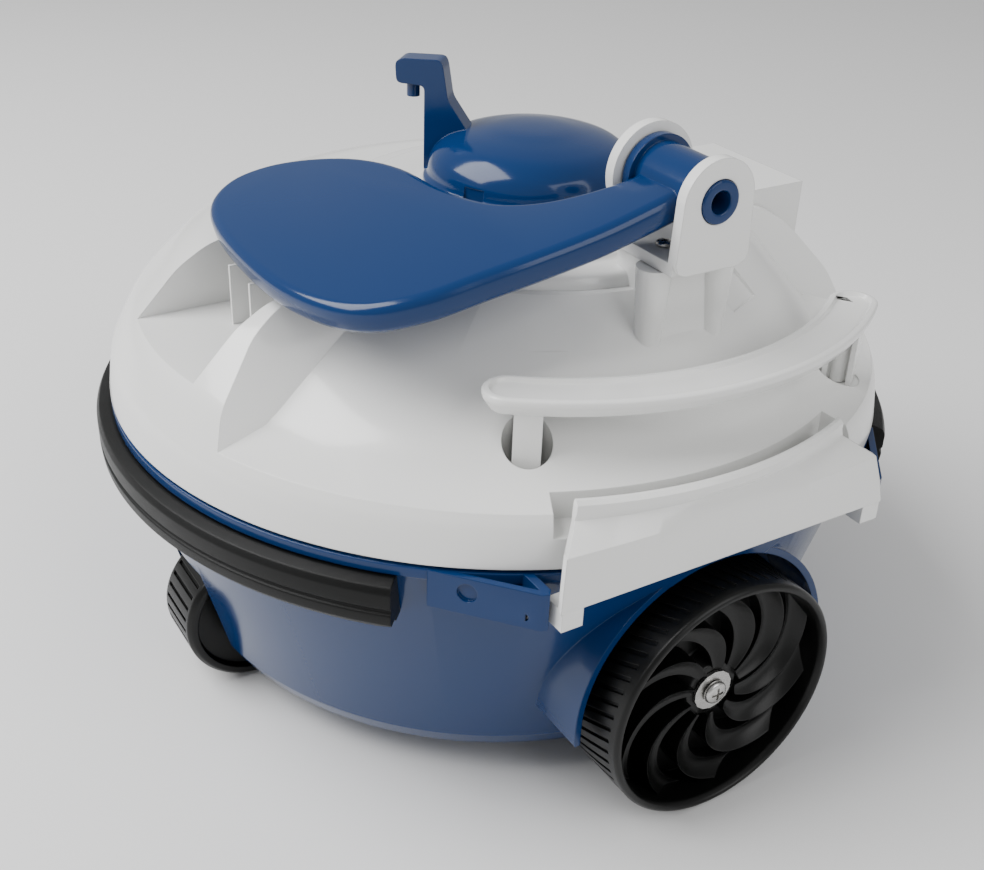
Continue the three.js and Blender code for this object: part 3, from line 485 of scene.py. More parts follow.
def brushedSteel():
    finish = Finish("stainless_steel")
    streaks = finish.node(
        "ShaderNodeTexNoise",
        Vector=finish.node("ShaderNodeMapping", Vector=finish.where, Scale=(300.0, 300.0, 2600.0)),
        Scale=1.0,
        Detail=3.0,
    )
    tarnish = finish.noise(160.0, 4.0)
    finish.feed(
        Base_Color=finish.mix(tarnish, (0.62, 0.62, 0.61, 1), (0.42, 0.41, 0.39, 1)),
        Roughness=0.2 + streaks * 0.16,
        Metallic=1.0,
        Normal=finish.node("ShaderNodeBump", Height=streaks, Distance=0.0001, Strength=0.3),
    )
    return finish.material


finishes = {key: mouldedPlastic(look) for key, look in plastics.items()}
finishes["steel"] = brushedSteel()
slotOf = {key: look["name"] for key, look in plastics.items()}
slotOf["steel"] = "steel"


def makePiece(solid, name, finish, stands, sharp=32):
    # Scales a finished solid to metres, shades it and puts it on the body of the node it stands for.
    solid.name = name
    solid.data.name = name
    solid.data.transform(Matrix.Scale(0.001, 4))
    solid.data.materials.clear()
    solid.data.materials.append(finishes[finish])
    for face in solid.data.polygons:
        face.use_smooth = True
        face.material_index = 0
    solid.data.set_sharp_from_angle(angle=math.radians(sharp))
    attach(solid, frame["nodes"][stands]["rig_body"])
    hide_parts(stands)
    print("stage:", name, len(solid.data.polygons), "faces")
    return solid


# Top cover.

cover = {
    "ductHalf": 34,
    "ductFront": -105,
    "ductRear": 155,
    "ductFloor": above(38),
    "ductRoof": above(74.1),
    "grooveRadius": 164.5,
    "seatFloor": above(12.5),
    "seatHalfAngle": 24.5,
    "wellRadius": capRadius - 3,
    "wellFloor": above(75),
    "wellSeat": above(81.5),
    "postFloor": above(21),
    "postAngle": 34,
    "postHoles": (9.8, 9.5),
    "floorEnd": -165,
    "ribX": 11,
}
grip = {"x": 7, "radius": 146, "half": 10.5, "halfAngle": 37, "lip": 2.2, "top": gripHigh[2]}
bracket = {"top": pivotHeight - 23, "plate": 5, "half": 18, "ear": 5, "screwX": earOuter - 20, "screwY": 8}
bossTop = bracket["top"] - bracket["plate"] - gap


def flats(inset):
    return block(-flatX + inset, flatX - inset, -260, 260, -20, above(160))


def domeProfile(inset):
    if inset:
        foot = [(0, above(-4)), (rimRadius - 14, above(-4)), (rimRadius - 14, above(5.5))]
    else:
        foot = [(0, above(0)), (rimRadius, above(0))]
    low = 5.5 if inset else 0
    return foot + [
        (rimRadius - inset, above(low + 0.5)),
        (178 - inset, above(15.5)),
        (175 - inset, above(21.5 - inset * 0.6)),
        (168 - inset, above(35 - inset * 0.6)),
        (156 - inset * 0.7, above(47.5 - inset * 0.7)),
        (146 - inset * 0.6, above(58 - inset * 0.8)),
        (133 - inset * 0.4, above(66 - inset)),
        (118, above(70 - inset)),
        (0, above(71 - inset)),
    ]


def crown(inset):
    profile = [
        (0, above(62)),
        (94 - inset, above(62)),
        (94 - inset, above(71 - inset)),
        (92 - inset, above(76 - inset)),
        (80 - inset, above(76.6 - inset)),
        (78.5 - inset, above(80 - inset)),
        (0, above(80.4 - inset)),
    ]
    return atCrown(lathe(rounded(profile, 2.2)))


def sideScoop(inset):
    foot, top = above(30.5), above(71.2)
    lean = crownY / (top - foot)
    profile = [
        (96 - inset, top),
        (96 - inset * 0.3, above(71.2 - inset)),
        (122, above(51.5 - inset * 1.3)),
        (148, above(30.5 - inset * 1.2)),
        (153, above(27 - inset)),
        (176, above(20.5 - inset)),
        (220, above(19 - inset)),
        (220, top),
    ]
    cone = lathe(profile)
    shear = Matrix.Identity(4)
    shear[1][2] = lean
    shear[1][3] = -lean * foot
    place(cone, shear)
    over = lathe([(96 - inset, top - 1), (220, top - 1), (220, above(120)), (96 - inset, above(120))])
    ring = join(cone, atCrown(over))

    def edgeX(z):
        return 47 - inset + (above(52.5) - z) * 0.5

    beyond = prism(
        [
            (edgeX(above(-10)), above(-10)),
            (300, above(-10)),
            (300, above(140)),
            (edgeX(above(73)), above(140)),
            (edgeX(above(73)), above(73)),
        ],
        -260,
        260,
        "y",
    )
    return common(ring, beyond)


def latchSeat(inset, side):
    half = cover["seatHalfAngle"] + inset * 0.35
    inner = cover["grooveRadius"] - inset
    low = cover["seatFloor"] - inset
    one = ringPart([(inner, low), (220, low), (220, above(60)), (inner, above(60))], -half, half)
    return place(one, Matrix.Scale(side, 4, (1, 0, 0)))


def domeShape(inset):
    dome = common(lathe(rounded(domeProfile(inset), 5)), flats(inset))
    join(dome, crown(inset))
    return cut(dome, sideScoop(inset), latchSeat(inset, 1), latchSeat(inset, -1))


def alongGrip(degrees):
    x, y = polar(grip["radius"], degrees)
    return x + grip["x"], y + crownY


postSpots = [alongGrip(-cover["postAngle"]), alongGrip(cover["postAngle"])]


def makeTopCover():
    half, floor, roof = cover["ductHalf"], cover["ductFloor"], cover["ductRoof"]
    front, rear = cover["ductFront"], cover["ductRear"]
    solid = domeShape(0)
    join(solid, block(-half, half, front, rear, above(20), roof))
    join(solid, atCrown(bar(capRadius + 8, (0, 0, above(60)), (0, 0, cover["wellSeat"]), 160, capRadius + 5)))
    for side in (-1, 1):
        low = (earOuter - 15, side * 16, above(35))
        high = (earOuter - 15, side * 16, bossTop)
        join(solid, atCrown(bar(4.2, low, high, 64, 7.4)))
    screwX, screwY = bracket["screwX"], bracket["screwY"]
    web = [(farEar + 2, above(60)), (screwX + 8, above(50)), (screwX + 6, bossTop), (farEar + 2, bossTop)]
    join(solid, atCrown(prism(web, -screwY - 4, screwY + 4, "y")))
    hollow = domeShape(wall)
    cut(hollow, block(-half - wall, half + wall, cover["floorEnd"], rear + 1, floor - wall, above(110)))
    for (x, y), hole in zip(postSpots, cover["postHoles"]):
        cut(hollow, bar(hole + wall, (x, y, cover["postFloor"] - wall), (x, y, above(60))))
    cut(solid, hollow)
    for (x, y), hole in zip(postSpots, cover["postHoles"]):
        cut(solid, bar(hole, (x, y, cover["postFloor"]), (x, y, above(60)), 96))
        cut(solid, bar(2.1, (x, y, cover["postFloor"] - 2 * wall), (x, y, cover["postFloor"] + 1)))
    cut(
        solid,
        block(-half + wall, half - wall, -80, rear + 10, floor, roof - wall),
        block(-half, half, front, -79, floor, roof - wall),
        block(-half, half, -220, front + 1, floor, above(120)),
    )
    for side in (-1, 1):
        x = side * cover["ribX"]
        join(solid, block(x - 0.9, x + 0.9, -127, front + 10, floor - 1, above(65)))
        join(solid, block(x - 0.9, x + 0.9, rear - 32, rear - 2, floor - 1, roof - 1))
    well = bar(cover["wellRadius"], (0, 0, cover["wellFloor"]), (0, 0, above(120)), 160)
    cut(solid, atCrown(well))
    for angle in (-26, 26):
        outline = [(103, above(67.3)), (116, above(56.6)), (126, above(60)), (112, above(78))]
        pocket = prism(outline, -11, 11, "y")
        turn = Matrix.Rotation(math.radians(angle), 4, "Z") @ Matrix.Translation((-0.6, 0, -1))
        cut(solid, place(pocket, Matrix.Translation((0, crownY * 0.5, 0)) @ turn))
    for side in (-1, 1):
        low = (screwX, side * screwY, bossTop - 14)
        cut(solid, atCrown(bar(1.9, low, (screwX, side * screwY, bossTop + 1))))
    return makePiece(solid, "white_top_cover", "white", "top_cover")


# Hull with its wheel arches, fenders and hinge lugs.

hull = {
    "floor": boxOf("hull")[0][2],
    "flangeTop": above(-1.5),
    "flangeBottom": above(-6.5),
    "archRadius": wheelRadius + 8.6,
    "wellRadius": wheelRadius + 5.6,
    "wellInner": wheelInner - 2.6,
    "rollerReach": -(rollerLow[1] + rollerHigh[1]) / 2,
    "rollerRadius": (rollerHigh[2] - rollerLow[2]) / 2,
    "notchHalf": rollerHigh[0] + 6,
    "hingeX": 168,
    "hingeZ": above(-13),
    "lugEnd": 80.5,
    "pinHole": 1.9,
    "footRadius": 152,
    "opening": 80,
    "corners": (45, 135, 225, 315),
    "pillarRing": 125,
    "pillarTop": above(-48.8),
    "screwRing": 86,
}


def mirroredTo(solid, sx, sy):
    return place(solid, Matrix.Diagonal((sx, sy, 1, 1)))


def makeLug():
    end = hull["lugEnd"]
    outline = [(140, -114), (173.5, -85.2), (174.5, -82.5), (172, -end), (150, -end), (128, -100)]
    solid = prism(outline, above(-18), hull["flangeTop"])
    slant = prism([(-90, above(-30)), (-150, above(-30)), (-150, above(-9))], 100, 200, "x")
    tray = prism([(143, -107.5), (170.2, -84.2), (158, -84.2), (136, -101)], above(-9), above(5))
    return cut(solid, slant, tray)


def archBar(radius, x0, x1):
    return bar(radius, (x0, 0, wheelRadius), (x1, 0, wheelRadius), 160)


def makeHull():
    floor, top, bottom = hull["floor"], hull["flangeTop"], hull["flangeBottom"]
    high = rimRadius - 2
    outside = [
        (0, floor),
        (138, floor),
        (147, floor + 3.5),
        (hull["footRadius"], floor + 12),
        (high, bottom),
        (rimRadius, bottom),
        (rimRadius, top),
        (0, top),
    ]
    slope = (high - hull["footRadius"]) / (bottom - floor - 12)
    inside = [
        (0, floor + wall),
        (137, floor + wall),
        (145, floor + 6),
        (hull["footRadius"] - wall, floor + 13),
        (hull["footRadius"] + slope * (bottom - 8 - floor - 12) - wall, bottom - 8),
        (rimRadius - 14, bottom),
        (rimRadius - 14, top + 5),
        (0, top + 5),
    ]
    fender = flatX - 0.2
    solid = common(lathe(rounded(outside, 0.8)), flats(0))
    room = block(-200, 200, -100, 100, wheelRadius - 8, 300)
    join(solid, common(archBar(hull["archRadius"], -fender, fender), room))
    for sx in (-1, 1):
        for sy in (-1, 1):
            join(solid, mirroredTo(makeLug(), sx, -sy))
    hollow = common(lathe(inside), flats(wall))
    notch, back = hull["notchHalf"], hull["rollerReach"] - hull["rollerRadius"] - 2
    notchTop = 2 * hull["rollerRadius"] + 2
    inner = hull["wellInner"]
    for side in (-1, 1):
        reach = side * 260
        start = side * (inner - wall)
        arch = hull["archRadius"]
        y0, y1 = sorted((side * (back - wall), reach))
        cut(
            hollow,
            archBar(arch, start, reach),
            block(min(start, reach), max(start, reach), -arch, arch, -10, wheelRadius),
            archBar(11, side * (inner - 24), reach),
            block(-notch - 2 * wall, notch + 2 * wall, y0, y1, -10, notchTop + wall),
        )
    cut(solid, hollow)
    for side in (-1, 1):
        reach = side * 260
        start = side * inner
        well = hull["wellRadius"]
        y0, y1 = sorted((side * back, reach))
        axle = side * hull["rollerReach"]
        cut(
            solid,
            archBar(well, start, reach),
            block(min(start, reach), max(start, reach), -well, well, -10, wheelRadius),
            archBar(4.3, side * (inner - 20), side * (inner + 5)),
            block(-notch, notch, y0, y1, -10, notchTop),
            bar(3.3, (-notch - 3.6, axle, hull["rollerRadius"]), (notch + 3.6, axle, hull["rollerRadius"])),
        )
    for angle in hull["corners"]:
        x, y = polar(hull["pillarRing"], angle)
        join(solid, bar(6, (x, y, floor + 1), (x, y, hull["pillarTop"])))
    cut(solid, bar(hull["opening"], (0, 0, 0), (0, 0, floor + 10), 128))
    for angle in hull["corners"]:
        x, y = polar(hull["screwRing"], angle)
        cut(solid, bar(1.9, (x, y, 0), (x, y, floor + 10)))
    end = hull["lugEnd"]
    for sx in (-1, 1):
        for sy in (-1, 1):
            x, z = sx * hull["hingeX"], hull["hingeZ"]
            cut(
                solid,
                bar(hull["pinHole"], (x, sy * (end - 2), z), (x, sy * (end + 8.5), z)),
                bar(4, (sx * 160, sy * 113.4, above(-8)), (sx * 151, sy * 102.8, above(-8))),
            )
    return makePiece(solid, "blue_hull", "blue", "hull")


# Bumpers.

bumper = {"half": 47, "low": above(-28), "top": above(-6.9), "step": above(-19)}


def makeBumper(name, side):
    low, top, step = bumper["low"], bumper["top"], bumper["step"]
    slope = (rimRadius - 2 - hull["footRadius"]) / (hull["flangeBottom"] - hull["floor"] - 12)

    def hullSide(z):
        return hull["footRadius"] + slope * (z - hull["floor"] - 12)

    profile = [
        (hullSide(low) + gap, low),
        (rimRadius + 4, low),
        (rimRadius + 6.6, above(-25)),
        (rimRadius + 7, step - 1.4),
        (rimRadius + 5.9, step - 0.7),
        (rimRadius + 5.9, step + 0.7),
        (rimRadius + 7, step + 1.4),
        (rimRadius + 7, above(-11)),
        (rimRadius + 5.6, above(-8.4)),
        (rimRadius + 1, top),
        (hullSide(top) + gap, top),
    ]
    solid = ringPart(rounded(profile, 0.5), -90 - bumper["half"], -90 + bumper["half"], 384)
    for end in (-1, 1):
        x, y = polar(rimRadius + 8, -90 + end * bumper["half"])
        wedge = prism([(-14, above(-30)), (14, above(-30)), (14, above(-22))], -9, 9, "y")
        turn = Matrix.Rotation(math.radians(-90 + end * bumper["half"] + 90 * end), 4, "Z")
        cut(solid, place(wedge, Matrix.Translation((x, y, 0)) @ turn))
    return makePiece(mirroredTo(solid, 1, side), name, "rubber", name)


# Side latches.

latch = {
    "foot": 176,
    "ridge": 173.3,
    "end": 79.8,
    "halfAngle": 22,
    "pinHole": 1.9,
    "section": [
        (0, above(-8.5), 3.2),
        (0.1, above(1.5), 3.2),
        (0.26, above(12.4), 3.2),
        (0.93, above(19.5), 2.8),
        (1, above(22.5), 3.9),
        (1, above(25.5), 3.9),
        (1, above(27), 2.4),
        (1, above(27), 0.8),
        (1, above(25), -0.2),
        (0.93, above(19.2), -0.4),
        (0.22, above(12.9), 0),
        (0.1, above(1.5), 0),
        (0, above(-8.5), 0),
    ],
}


def makeLatch(name, side):
    rows = []
    steps = 72
    for i in range(steps + 1):
        t = -1 + 2 * i / steps
        angle = t * latch["halfAngle"]
        ridgeX, ridgeY = polar(latch["ridge"], angle)
        leanX, leanY = polar(1, angle * 0.6)
        row = []
        for s, z, out in latch["section"]:
            # a long lens-shaped recess under the ridge
            dish = 1.1 * max(0, 1 - (t / 0.86) ** 2) if out == 2.8 else 0
            x = latch["foot"] + (ridgeX - latch["foot"]) * s + (out - dish) * leanX
            y = t * latch["end"] + (ridgeY - t * latch["end"]) * s + (out - dish) * leanY
            row.append((x, y, z))
        rows.append(row)
    solid = loft(rows)
    x, z = hull["hingeX"], hull["hingeZ"]
    for end in (-1, 1):
        inner, outer = end * (latch["end"] - 9.5), end * latch["end"]
        y0, y1 = sorted((inner, outer))
        join(solid, bar(3.8, (x, inner, z), (x, outer, z)))
        join(solid, block(x, latch["foot"] + 3, y0, y1, z - 3.8, z + 5.5))
        cut(solid, bar(latch["pinHole"], (x, inner + end * 1.5, z), (x, outer * 1.1, z)))
    return makePiece(mirroredTo(solid, side, 1), "white_" + name, "white", name)


# Carry handle.

def makeCarryHandle():
    radius, half, top = grip["radius"], grip["half"], grip["top"]
    def gripBand(outline, rounding):
        # the outline holds (distance from the middle line, height)
        profile = [(radius + r, z) for r, z in outline] + [(radius - r, z) for r, z in reversed(outline)]
        band = ringPart(rounded(profile, rounding), -grip["halfAngle"], grip["halfAngle"], 384)
        place(band, Matrix.Translation((grip["x"], crownY, 0)))
        for side in (-1, 1):
            x, y = alongGrip(side * grip["halfAngle"])
            turned = [(0, outline[0][1])] + outline + [(0, outline[-1][1])]
            join(band, place(lathe(rounded(turned, rounding), 96), Matrix.Translation((x, y, 0))))
        return band

    solid = gripBand([(half - 3, top - 8), (half, top - 3), (half, top - 0.8), (half - 1, top)], 1)
    lip = half - grip["lip"]
    cut(solid, gripBand([(lip - 1.4, top - 1.6), (lip, top + 1)], 0.4))
    for side in (-1, 1):
        angle = side * cover["postAngle"]
        bottom = cover["postFloor"] + gap
        x, y = alongGrip(angle)
        column = join(
            block(-6.5, 6.5, -1.2, 1.2, bottom, top - 6),
            block(-6.5, -4.3, -5.5, 5.5, bottom, top - 6),
            block(4.3, 6.5, -5.5, 5.5, bottom, top - 6),
            bar(3.6, (0, 0, bottom), (0, 0, top - 6), 64),
        )
        turn = Matrix.Rotation(math.radians(angle), 4, "Z")
        join(solid, place(column, Matrix.Translation((x, y, 0)) @ turn))
        cut(solid, bar(2, (x, y, bottom - 2), (x, y, bottom + 16)))
    return makePiece(solid, "white_carry_handle", "white", "carry_handle")


# Bracket, pivot tube and paddle.

def earOutline(half, radius):
    foot = bracket["top"] - bracket["plate"]
    points = [(-half + 5, foot), (half - 5, foot), (half - 1.5, foot + 1.5), (half, foot + 5)]
    for i in range(49):
        a, b = polar(radius, 180 * i / 48)
        points.append((a, pivotHeight + b))
    return points + [(-half, foot + 5), (-half + 1.5, foot + 1.5)]


def makeBracket():
    top, plate, half, ear = bracket["top"], bracket["plate"], bracket["half"], bracket["ear"]
    solid = join(
        block(farEar, earOuter - 2, -half, half, top - plate, top),
        prism(earOutline(half, 17), earOuter - ear, earOuter, "x"),
        prism(earOutline(half, 17), farEar, farEar + ear, "x"),
        bar(20, (farEar, 0, pivotHeight), (farEar + ear, 0, pivotHeight), 128),
    )
    for side in (-1, 1):
        y0, y1 = sorted((side * half, side * (half - 2.2)))
        join(solid, block(farEar + 1, farEar + 9, y0, y1, top - 1, top + 7))
        x, y = bracket["screwX"], side * bracket["screwY"]
        cut(solid, bar(2, (x, y, top - 8), (x, y, top + 2)))
    cut(solid, bar(9, (farEar - 5, 0, pivotHeight), (earOuter + 5, 0, pivotHeight), 128))
    return makePiece(atCrown(solid), "white_paddle_bracket", "white", "paddle_bracket")


def makePivotTube():
    start, end = farEar - 1, earOuter + 1
    solid = lathe(rounded([(4.6, start), (8.7, start), (8.7, end), (4.6, end)], 0.8), 128)
    place(solid, Matrix.Translation((0, 0, pivotHeight)) @ Matrix.Rotation(math.radians(90), 4, "Y"))
    return makePiece(atCrown(solid), "blue_pivot_tube", "blue", "paddle_pivot_tube")


paddleSize = {"thickness": 12.5, "slope": 15.2, "edge": 4.5, "root": 13.6, "steps": 5}
rootNear = earOuter - bracket["ear"] - 3
rootFar = farEar + bracket["ear"] + 4
paddleOutline = [
    (rootNear, 4),
    (rootNear, -22),
    (rootNear - 0.5, -45),
    (rootNear - 4, -68),
    (rootNear - 9, -92),
    (rootNear - 14, -114),
    (rootNear - 25, -132),
    (rootNear - 46, -143),
    (rootNear - 80, -148.4),
    (rootNear - 128, -147),
    (rootNear - 158, -140),
    (rootNear - 172, -125),
    (rootNear - 171, -107),
    (rootNear - 159, -90),
    (rootNear - 140, -76),
    (rootNear - 115, -68),
    (rootNear - 82, -66),
    (rootNear - 57, -60),
    (rootNear - 42, -49),
    (rootNear - 33, -34),
    (rootFar + 1.2, -15),
    (rootFar - 0.7, 4.6),
]


def splineThrough(points, steps):
    # A smooth curve through the points, with its two ends kept.
    made = []
    last = len(points) - 1
    for i in range(last):
        p = [Vector(points[max(0, min(last, i + k))]) for k in (-1, 0, 1, 2)]
        for step in range(steps):
            t = step / steps
            pull = (p[2] - p[0]) * 0.5
            push = (p[3] - p[1]) * 0.5
            lead = (2 * t**3 - 3 * t**2 + 1) * p[1] + (t**3 - 2 * t**2 + t) * pull
            made.append(lead + (-2 * t**3 + 3 * t**2) * p[2] + (t**3 - t**2) * push)
    return made + [Vector(points[-1])]


def makePaddle():
    slope, edge, thick = paddleSize["slope"], paddleSize["edge"], paddleSize["thickness"]
    stretch = 1 / math.cos(math.radians(slope))
    line = splineThrough([(x, y * stretch) for x, y in paddleOutline], paddleSize["steps"])
    rows = []
    layers = 16
    for i in range(layers + 1):
        lift = (i / layers - 0.5) * math.pi
        inset = edge * (1 - math.cos(lift))
        shift = (i > layers / 2) - (i < layers / 2)
        z = math.sin(lift) * edge + shift * (thick / 2 - edge)
        row = []
        for k, point in enumerate(line):
            side = (line[(k + 1) % len(line)] - line[k - 1]).normalized()
            row.append((point.x + side.y * inset, point.y - side.x * inset, z))
        rows.append(row)
    tilt = Matrix.Translation((0, 0, pivotHeight)) @ Matrix.Rotation(math.radians(slope), 4, "X")
    solid = place(loft(rows), tilt)
    root = paddleSize["root"]
    near = earOuter - bracket["ear"] - 1.2
    join(
        solid,
        bar(root, (rootFar - 2, 0, pivotHeight), (near, 0, pivotHeight), 128),
        bar(root + 2.6, (farEar + bracket["ear"] + 1, 0, pivotHeight), (rootFar + 1, 0, pivotHeight), 128),
    )
    cut(solid, bar(9, (farEar, 0, pivotHeight), (earOuter, 0, pivotHeight), 128))
    return makePiece(atCrown(solid), "blue_paddle", "blue", "paddle")


# Hub cap with its lifting hook.

cap = {
    "base": sealTop + gap,
    "rise": 27,
    "hookRise": 25,
    "hookAngle": -134,
    "notches": (-65, -10, 55, 120, 175),
}


def makeHubCap():
    base, rise, radius = cap["base"], cap["rise"], capRadius
    profile = [
        (0, base + rise - 3),
        (22, base + rise - 5),
        (36, base + rise - 10.5),
        (radius - 5, base + 8),
        (radius - 6, base),
        (radius - 6, base - 7),
        (radius - 3.6, base - 7),
        (radius - 3.6, base),
        (radius + 2, base),
        (radius + 2, base + 3),
        (radius, base + 4.5),
        (radius - 0.5, base + 9),
        (radius - 3, base + 14.5),
        (radius - 9, base + 20),
        (30, base + rise - 4),
        (15, base + rise - 1),
        (0, base + rise),
    ]
    solid = lathe(rounded(profile, 4.5, 5), 224)
    for angle in cap["notches"]:
        notch = block(radius - 1.2, radius + 8, -5, 5, base - 1, base + 9)
        cut(solid, place(notch, Matrix.Rotation(math.radians(angle), 4, "Z")))
    top = base + rise + cap["hookRise"]
    side = [
        (radius + 2, base + 1),
        (radius + 2, top - 11.5),
        (radius + 15, top - 11),
        (radius + 15.6, top - 2),
        (radius + 13, top),
        (radius - 5, top + 0.6),
        (radius - 6.5, top - 2),
        (radius - 9, top - 17),
        (radius - 19, base + rise - 6),
        (radius - 20, base + rise - 13),
        (radius - 8, base + 12),
        (radius - 4.5, base + 3),
    ]
    hook = prism(rounded(side, 2.4), -5.4, 5.4, "y")
    join(hook, bar(3, (radius + 8.5, 0, top - 17.5), (radius + 8.5, 0, top - 9)))
    join(solid, place(hook, Matrix.Rotation(math.radians(cap["hookAngle"]), 4, "Z")))
    return makePiece(atCrown(solid), "blue_hub_cap", "blue", "hub_cap", 40)


# Side wheels: a turned rim, spiral blades and slanted tread grooves.

wheelSize = {
    "band": 4.2,
    "hubFace": wheelFace - 10.4,
    "bore": 4.3,
    "blades": 10,
    "sweep": 56,
    "vaneWidth": 7.6,
    "vaneDip": 6.5,
    "grooves": 60,
    "grooveDepth": 1.1,
}


def makeVane(reach, face):
    # One spiral vane: a cupped strip that widens outwards and dips towards its leading edge.
    rows = []
    for i in range(25):
        s = i / 24
        radius = 11 + (reach - 11) * s
        middle = wheelSize["sweep"] * s * s
        half = math.degrees((1.6 + wheelSize["vaneWidth"] * s) / radius)
        row = []
        for k in range(9):
            t = k / 8
            dip = wheelSize["vaneDip"] * math.sin(math.pi * min(1, t * 0.62)) * (0.25 + 0.75 * s)
            x, y = polar(radius, middle - half + 2 * half * t)
            row.append((x, y, face + 3.4 - dip))
        for k in (8, 0):
            x, y = polar(radius, middle - half + 2 * half * k / 8)
            row.append((x, y, face - 9))
        rows.append(row)
    return loft(rows)


def makeWheel(name, side):
    band, face, outer = wheelSize["band"], wheelSize["hubFace"], wheelFace
    r = wheelRadius
    profile = [
        (wheelSize["bore"], wheelInner + 2),
        (15, wheelInner + 2),
        (17, face - 12),
        (r - band, face - 13),
        (r - band, wheelInner),
        (r - 1.2, wheelInner),
        (r, wheelInner + 1.2),
        (r, outer - 1.2),
        (r - 1.2, outer),
        (r - 3, outer),
        (r - band, outer - 2.5),
        (r - band - 0.6, face - 9),
        (16, face - 8),
        (13, face),
        (wheelSize["bore"], face),
    ]
    solid = lathe(rounded(profile, 0.8), 240)
    join(solid, copiesInRing(makeVane(r - band + 0.6, face), wheelSize["blades"], "black"))
    notch = block(r - wheelSize["grooveDepth"], r + 3, -0.9, 0.9, wheelInner + 4, outer - 4)
    middle = Matrix.Translation((r, 0, (wheelInner + outer) / 2))
    place(notch, middle @ Matrix.Rotation(math.radians(22), 4, "X") @ middle.inverted())
    cut(solid, copiesInRing(notch, wheelSize["grooves"], "black"))
    cut(solid, bar(wheelSize["bore"], (0, 0, wheelInner - 5), (0, 0, outer + 5), 64))
    cut(solid, bar(12.5, (0, 0, face), (0, 0, outer + 5), 96))
    turn = Matrix.Rotation(math.radians(90), 4, "Y")
    place(solid, Matrix.Translation((0, 0, r)) @ turn)
    return makePiece(mirroredTo(solid, side, 1), "black_" + name, "black", name)


# Front and rear rollers.

roller = {"half": rollerHigh[0], "bore": 3.3, "grooves": 36, "band": 5}


def makeRoller(name, side):
    r, half, band = hull["rollerRadius"], roller["half"], roller["band"]
    profile = [
        (roller["bore"], -half),
        (9, -half),
        (10, -half + 5),
        (r - band, -half + 4),
        (r - band, -half),
        (r - 2, -half),
        (r, -half + 2),
        (r, half - 2),
        (r - 2, half),
        (r - band, half),
        (r - band, half - 4),
        (10, half - 5),
        (9, half),
        (roller["bore"], half),
    ]
    solid = lathe(rounded(profile, 0.8), 144)
    notch = block(r - 1.1, r + 3, -0.9, 0.9, -half + 4, half - 4)
    cut(solid, copiesInRing(notch, roller["grooves"], "black"))
    turn = Matrix.Rotation(math.radians(90), 4, "Y")
    place(solid, Matrix.Translation((0, side * hull["rollerReach"], r)) @ turn)
    return makePiece(solid, "black_" + name, "black", name)


# Pan-head screws of the wheels and of the bracket.

def screwHead(radius, height, slot):
    # A domed head with a crossed recess, standing on z = 0.
    outline = [(0, 0), (radius, 0), (radius, height * 0.42), (radius * 0.86, height * 0.8), (0, height)]
    solid = lathe(rounded(outline, radius * 0.25), 96)
    for x, y in ((slot, slot * 0.2), (slot * 0.2, slot)):
        cut(solid, block(-x, x, -y, y, height * 0.5, height + 2))
    return solid


def makeWheelScrew(name, side):
    start = wheelSize["hubFace"] + 2 * gap + 1.3
    solid = screwHead(5.4, 3.2, 3)
    join(solid, bar(2, (0, 0, -17.9), (0, 0, 0.5)))
    turn = Matrix.Rotation(math.radians(90), 4, "Y")
    place(solid, Matrix.Translation((start, 0, wheelRadius)) @ turn)
    return makePiece(mirroredTo(solid, side, 1), "steel_" + name, "steel", name)


def makeBracketScrew(name, side):
    seat = bracket["top"] + gap
    solid = screwHead(3.6, 2.2, 1.9)
    join(solid, bar(1.6, (0, 0, bossTop - 11 - seat), (0, 0, 0.7)))
    place(solid, Matrix.Translation((bracket["screwX"], side * bracket["screwY"], seat)))
    return makePiece(atCrown(solid), "steel_" + name, "steel", name)


makeTopCover()
makeHull()
makeBumper("bumper_front", 1)
makeBumper("bumper_rear", -1)
makeLatch("latch_right", 1)
makeLatch("latch_left", -1)
makeCarryHandle()
makeBracket()
makePivotTube()
makePaddle()
makeHubCap()
for sideName, side in (("right", 1), ("left", -1)):
    makeWheel("wheel_" + sideName, side)
    makeWheelScrew("wheel_screw_" + sideName, side)
makeRoller("roller_front", -1)
makeRoller("roller_rear", 1)
makeBracketScrew("bracket_screw_front", -1)
makeBracketScrew("bracket_screw_rear", 1)


# Finishes of the nodes that keep their own shape.

keptFinish = {
    "steel": ("screw", "pin", "axle", "washer", "shaft"),
    "rubber": ("gasket", "seal"),
    "black": ("suction", "socket", "motor", "control", "battery"),
}


def finishFor(name):
    for finish, words in keptFinish.items():
        if any(word in name for word in words):
            return finish
    return "grey"


for name, node in frame["nodes"].items():
    if not node.hide_render:
        node.data.materials.clear()
        node.data.materials.append(finishes[finishFor(name)])
print("stage: finishes set on the kept nodes")


# Floor, light and camera.

room = {"floorTone": (0.8, 0.8, 0.8, 1), "sky": 0.5, "keyPower": 56, "fillPower": 12}


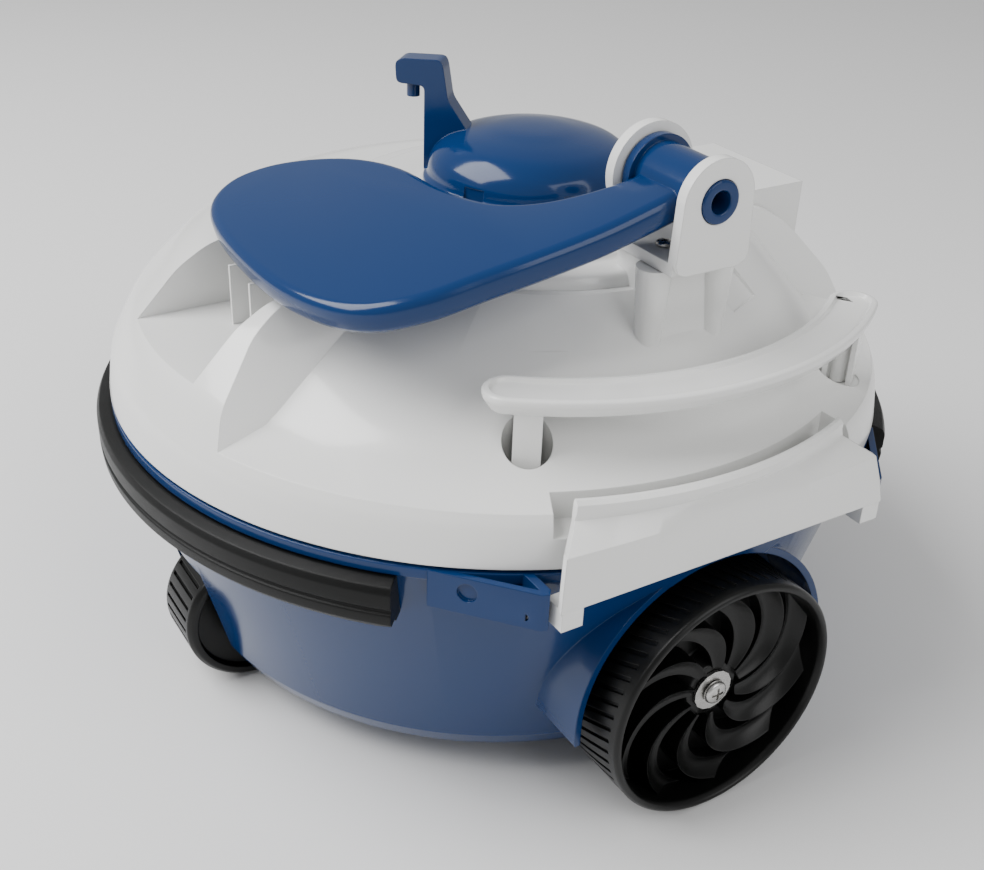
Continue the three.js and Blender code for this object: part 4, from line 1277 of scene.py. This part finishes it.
def makeFloor():
    mesh = bpy.data.meshes.new("floor")
    mesh.from_pydata([(-6, -6, 0), (6, -6, 0), (6, 6, 0), (-6, 6, 0)], [], [(0, 1, 2, 3)])
    plane = bpy.data.objects.new("floor", mesh)
    bpy.context.scene.collection.objects.link(plane)
    finish = Finish("pale_floor")
    finish.feed(Base_Color=room["floorTone"], Roughness=0.6)
    mesh.materials.append(finish.material)


def makeLight(name, power, size, spot):
    lamp = bpy.data.objects.new(name, bpy.data.lights.new(name, "AREA"))
    lamp.data.energy = power
    lamp.data.size = size
    lamp.location = spot
    aim = Vector((0, 0, 0.14)) - Vector(spot)
    lamp.rotation_euler = aim.to_track_quat("-Z", "Y").to_euler()
    bpy.context.scene.collection.objects.link(lamp)


# Azimuth, height and roll in degrees, sensor and lens in millimetres, spot in metres.
shot = {
    "azimuth": 57.52,
    "height": 29.86,
    "roll": 2.3,
    "sensor": 36,
    "lens": 47.85,
    "spot": (0.48202, -0.30584, 0.41409),
}


def makeCamera():
    turn, height, roll = (math.radians(shot[key]) for key in ("azimuth", "height", "roll"))
    back = Vector((math.sin(turn) * math.cos(height), -math.cos(turn) * math.cos(height), math.sin(height)))
    right = Vector((math.cos(turn), math.sin(turn), 0))
    up = back.cross(right)
    across = right * math.cos(roll) + up * math.sin(roll)
    upward = up * math.cos(roll) - right * math.sin(roll)
    camera = bpy.data.objects.new("camera", bpy.data.cameras.new("camera"))
    bpy.context.scene.collection.objects.link(camera)
    camera.data.sensor_width = shot["sensor"]
    camera.data.lens = shot["lens"]
    matrix = Matrix((across, upward, back)).transposed().to_4x4()
    matrix.translation = Vector(shot["spot"])
    camera.matrix_world = matrix
    bpy.context.scene.camera = camera


makeFloor()
makeLight("key", room["keyPower"], 1.4, (-0.5, -1.1, 1.5))
makeLight("fill", room["fillPower"], 1.2, (1.5, 0.4, 1.1))
sky = bpy.data.worlds.new("studio")
sky.use_nodes = True
sky.node_tree.nodes["Background"].inputs[0].default_value = (1, 1, 1, 1)
sky.node_tree.nodes["Background"].inputs[1].default_value = room["sky"]
bpy.context.scene.world = sky
makeCamera()
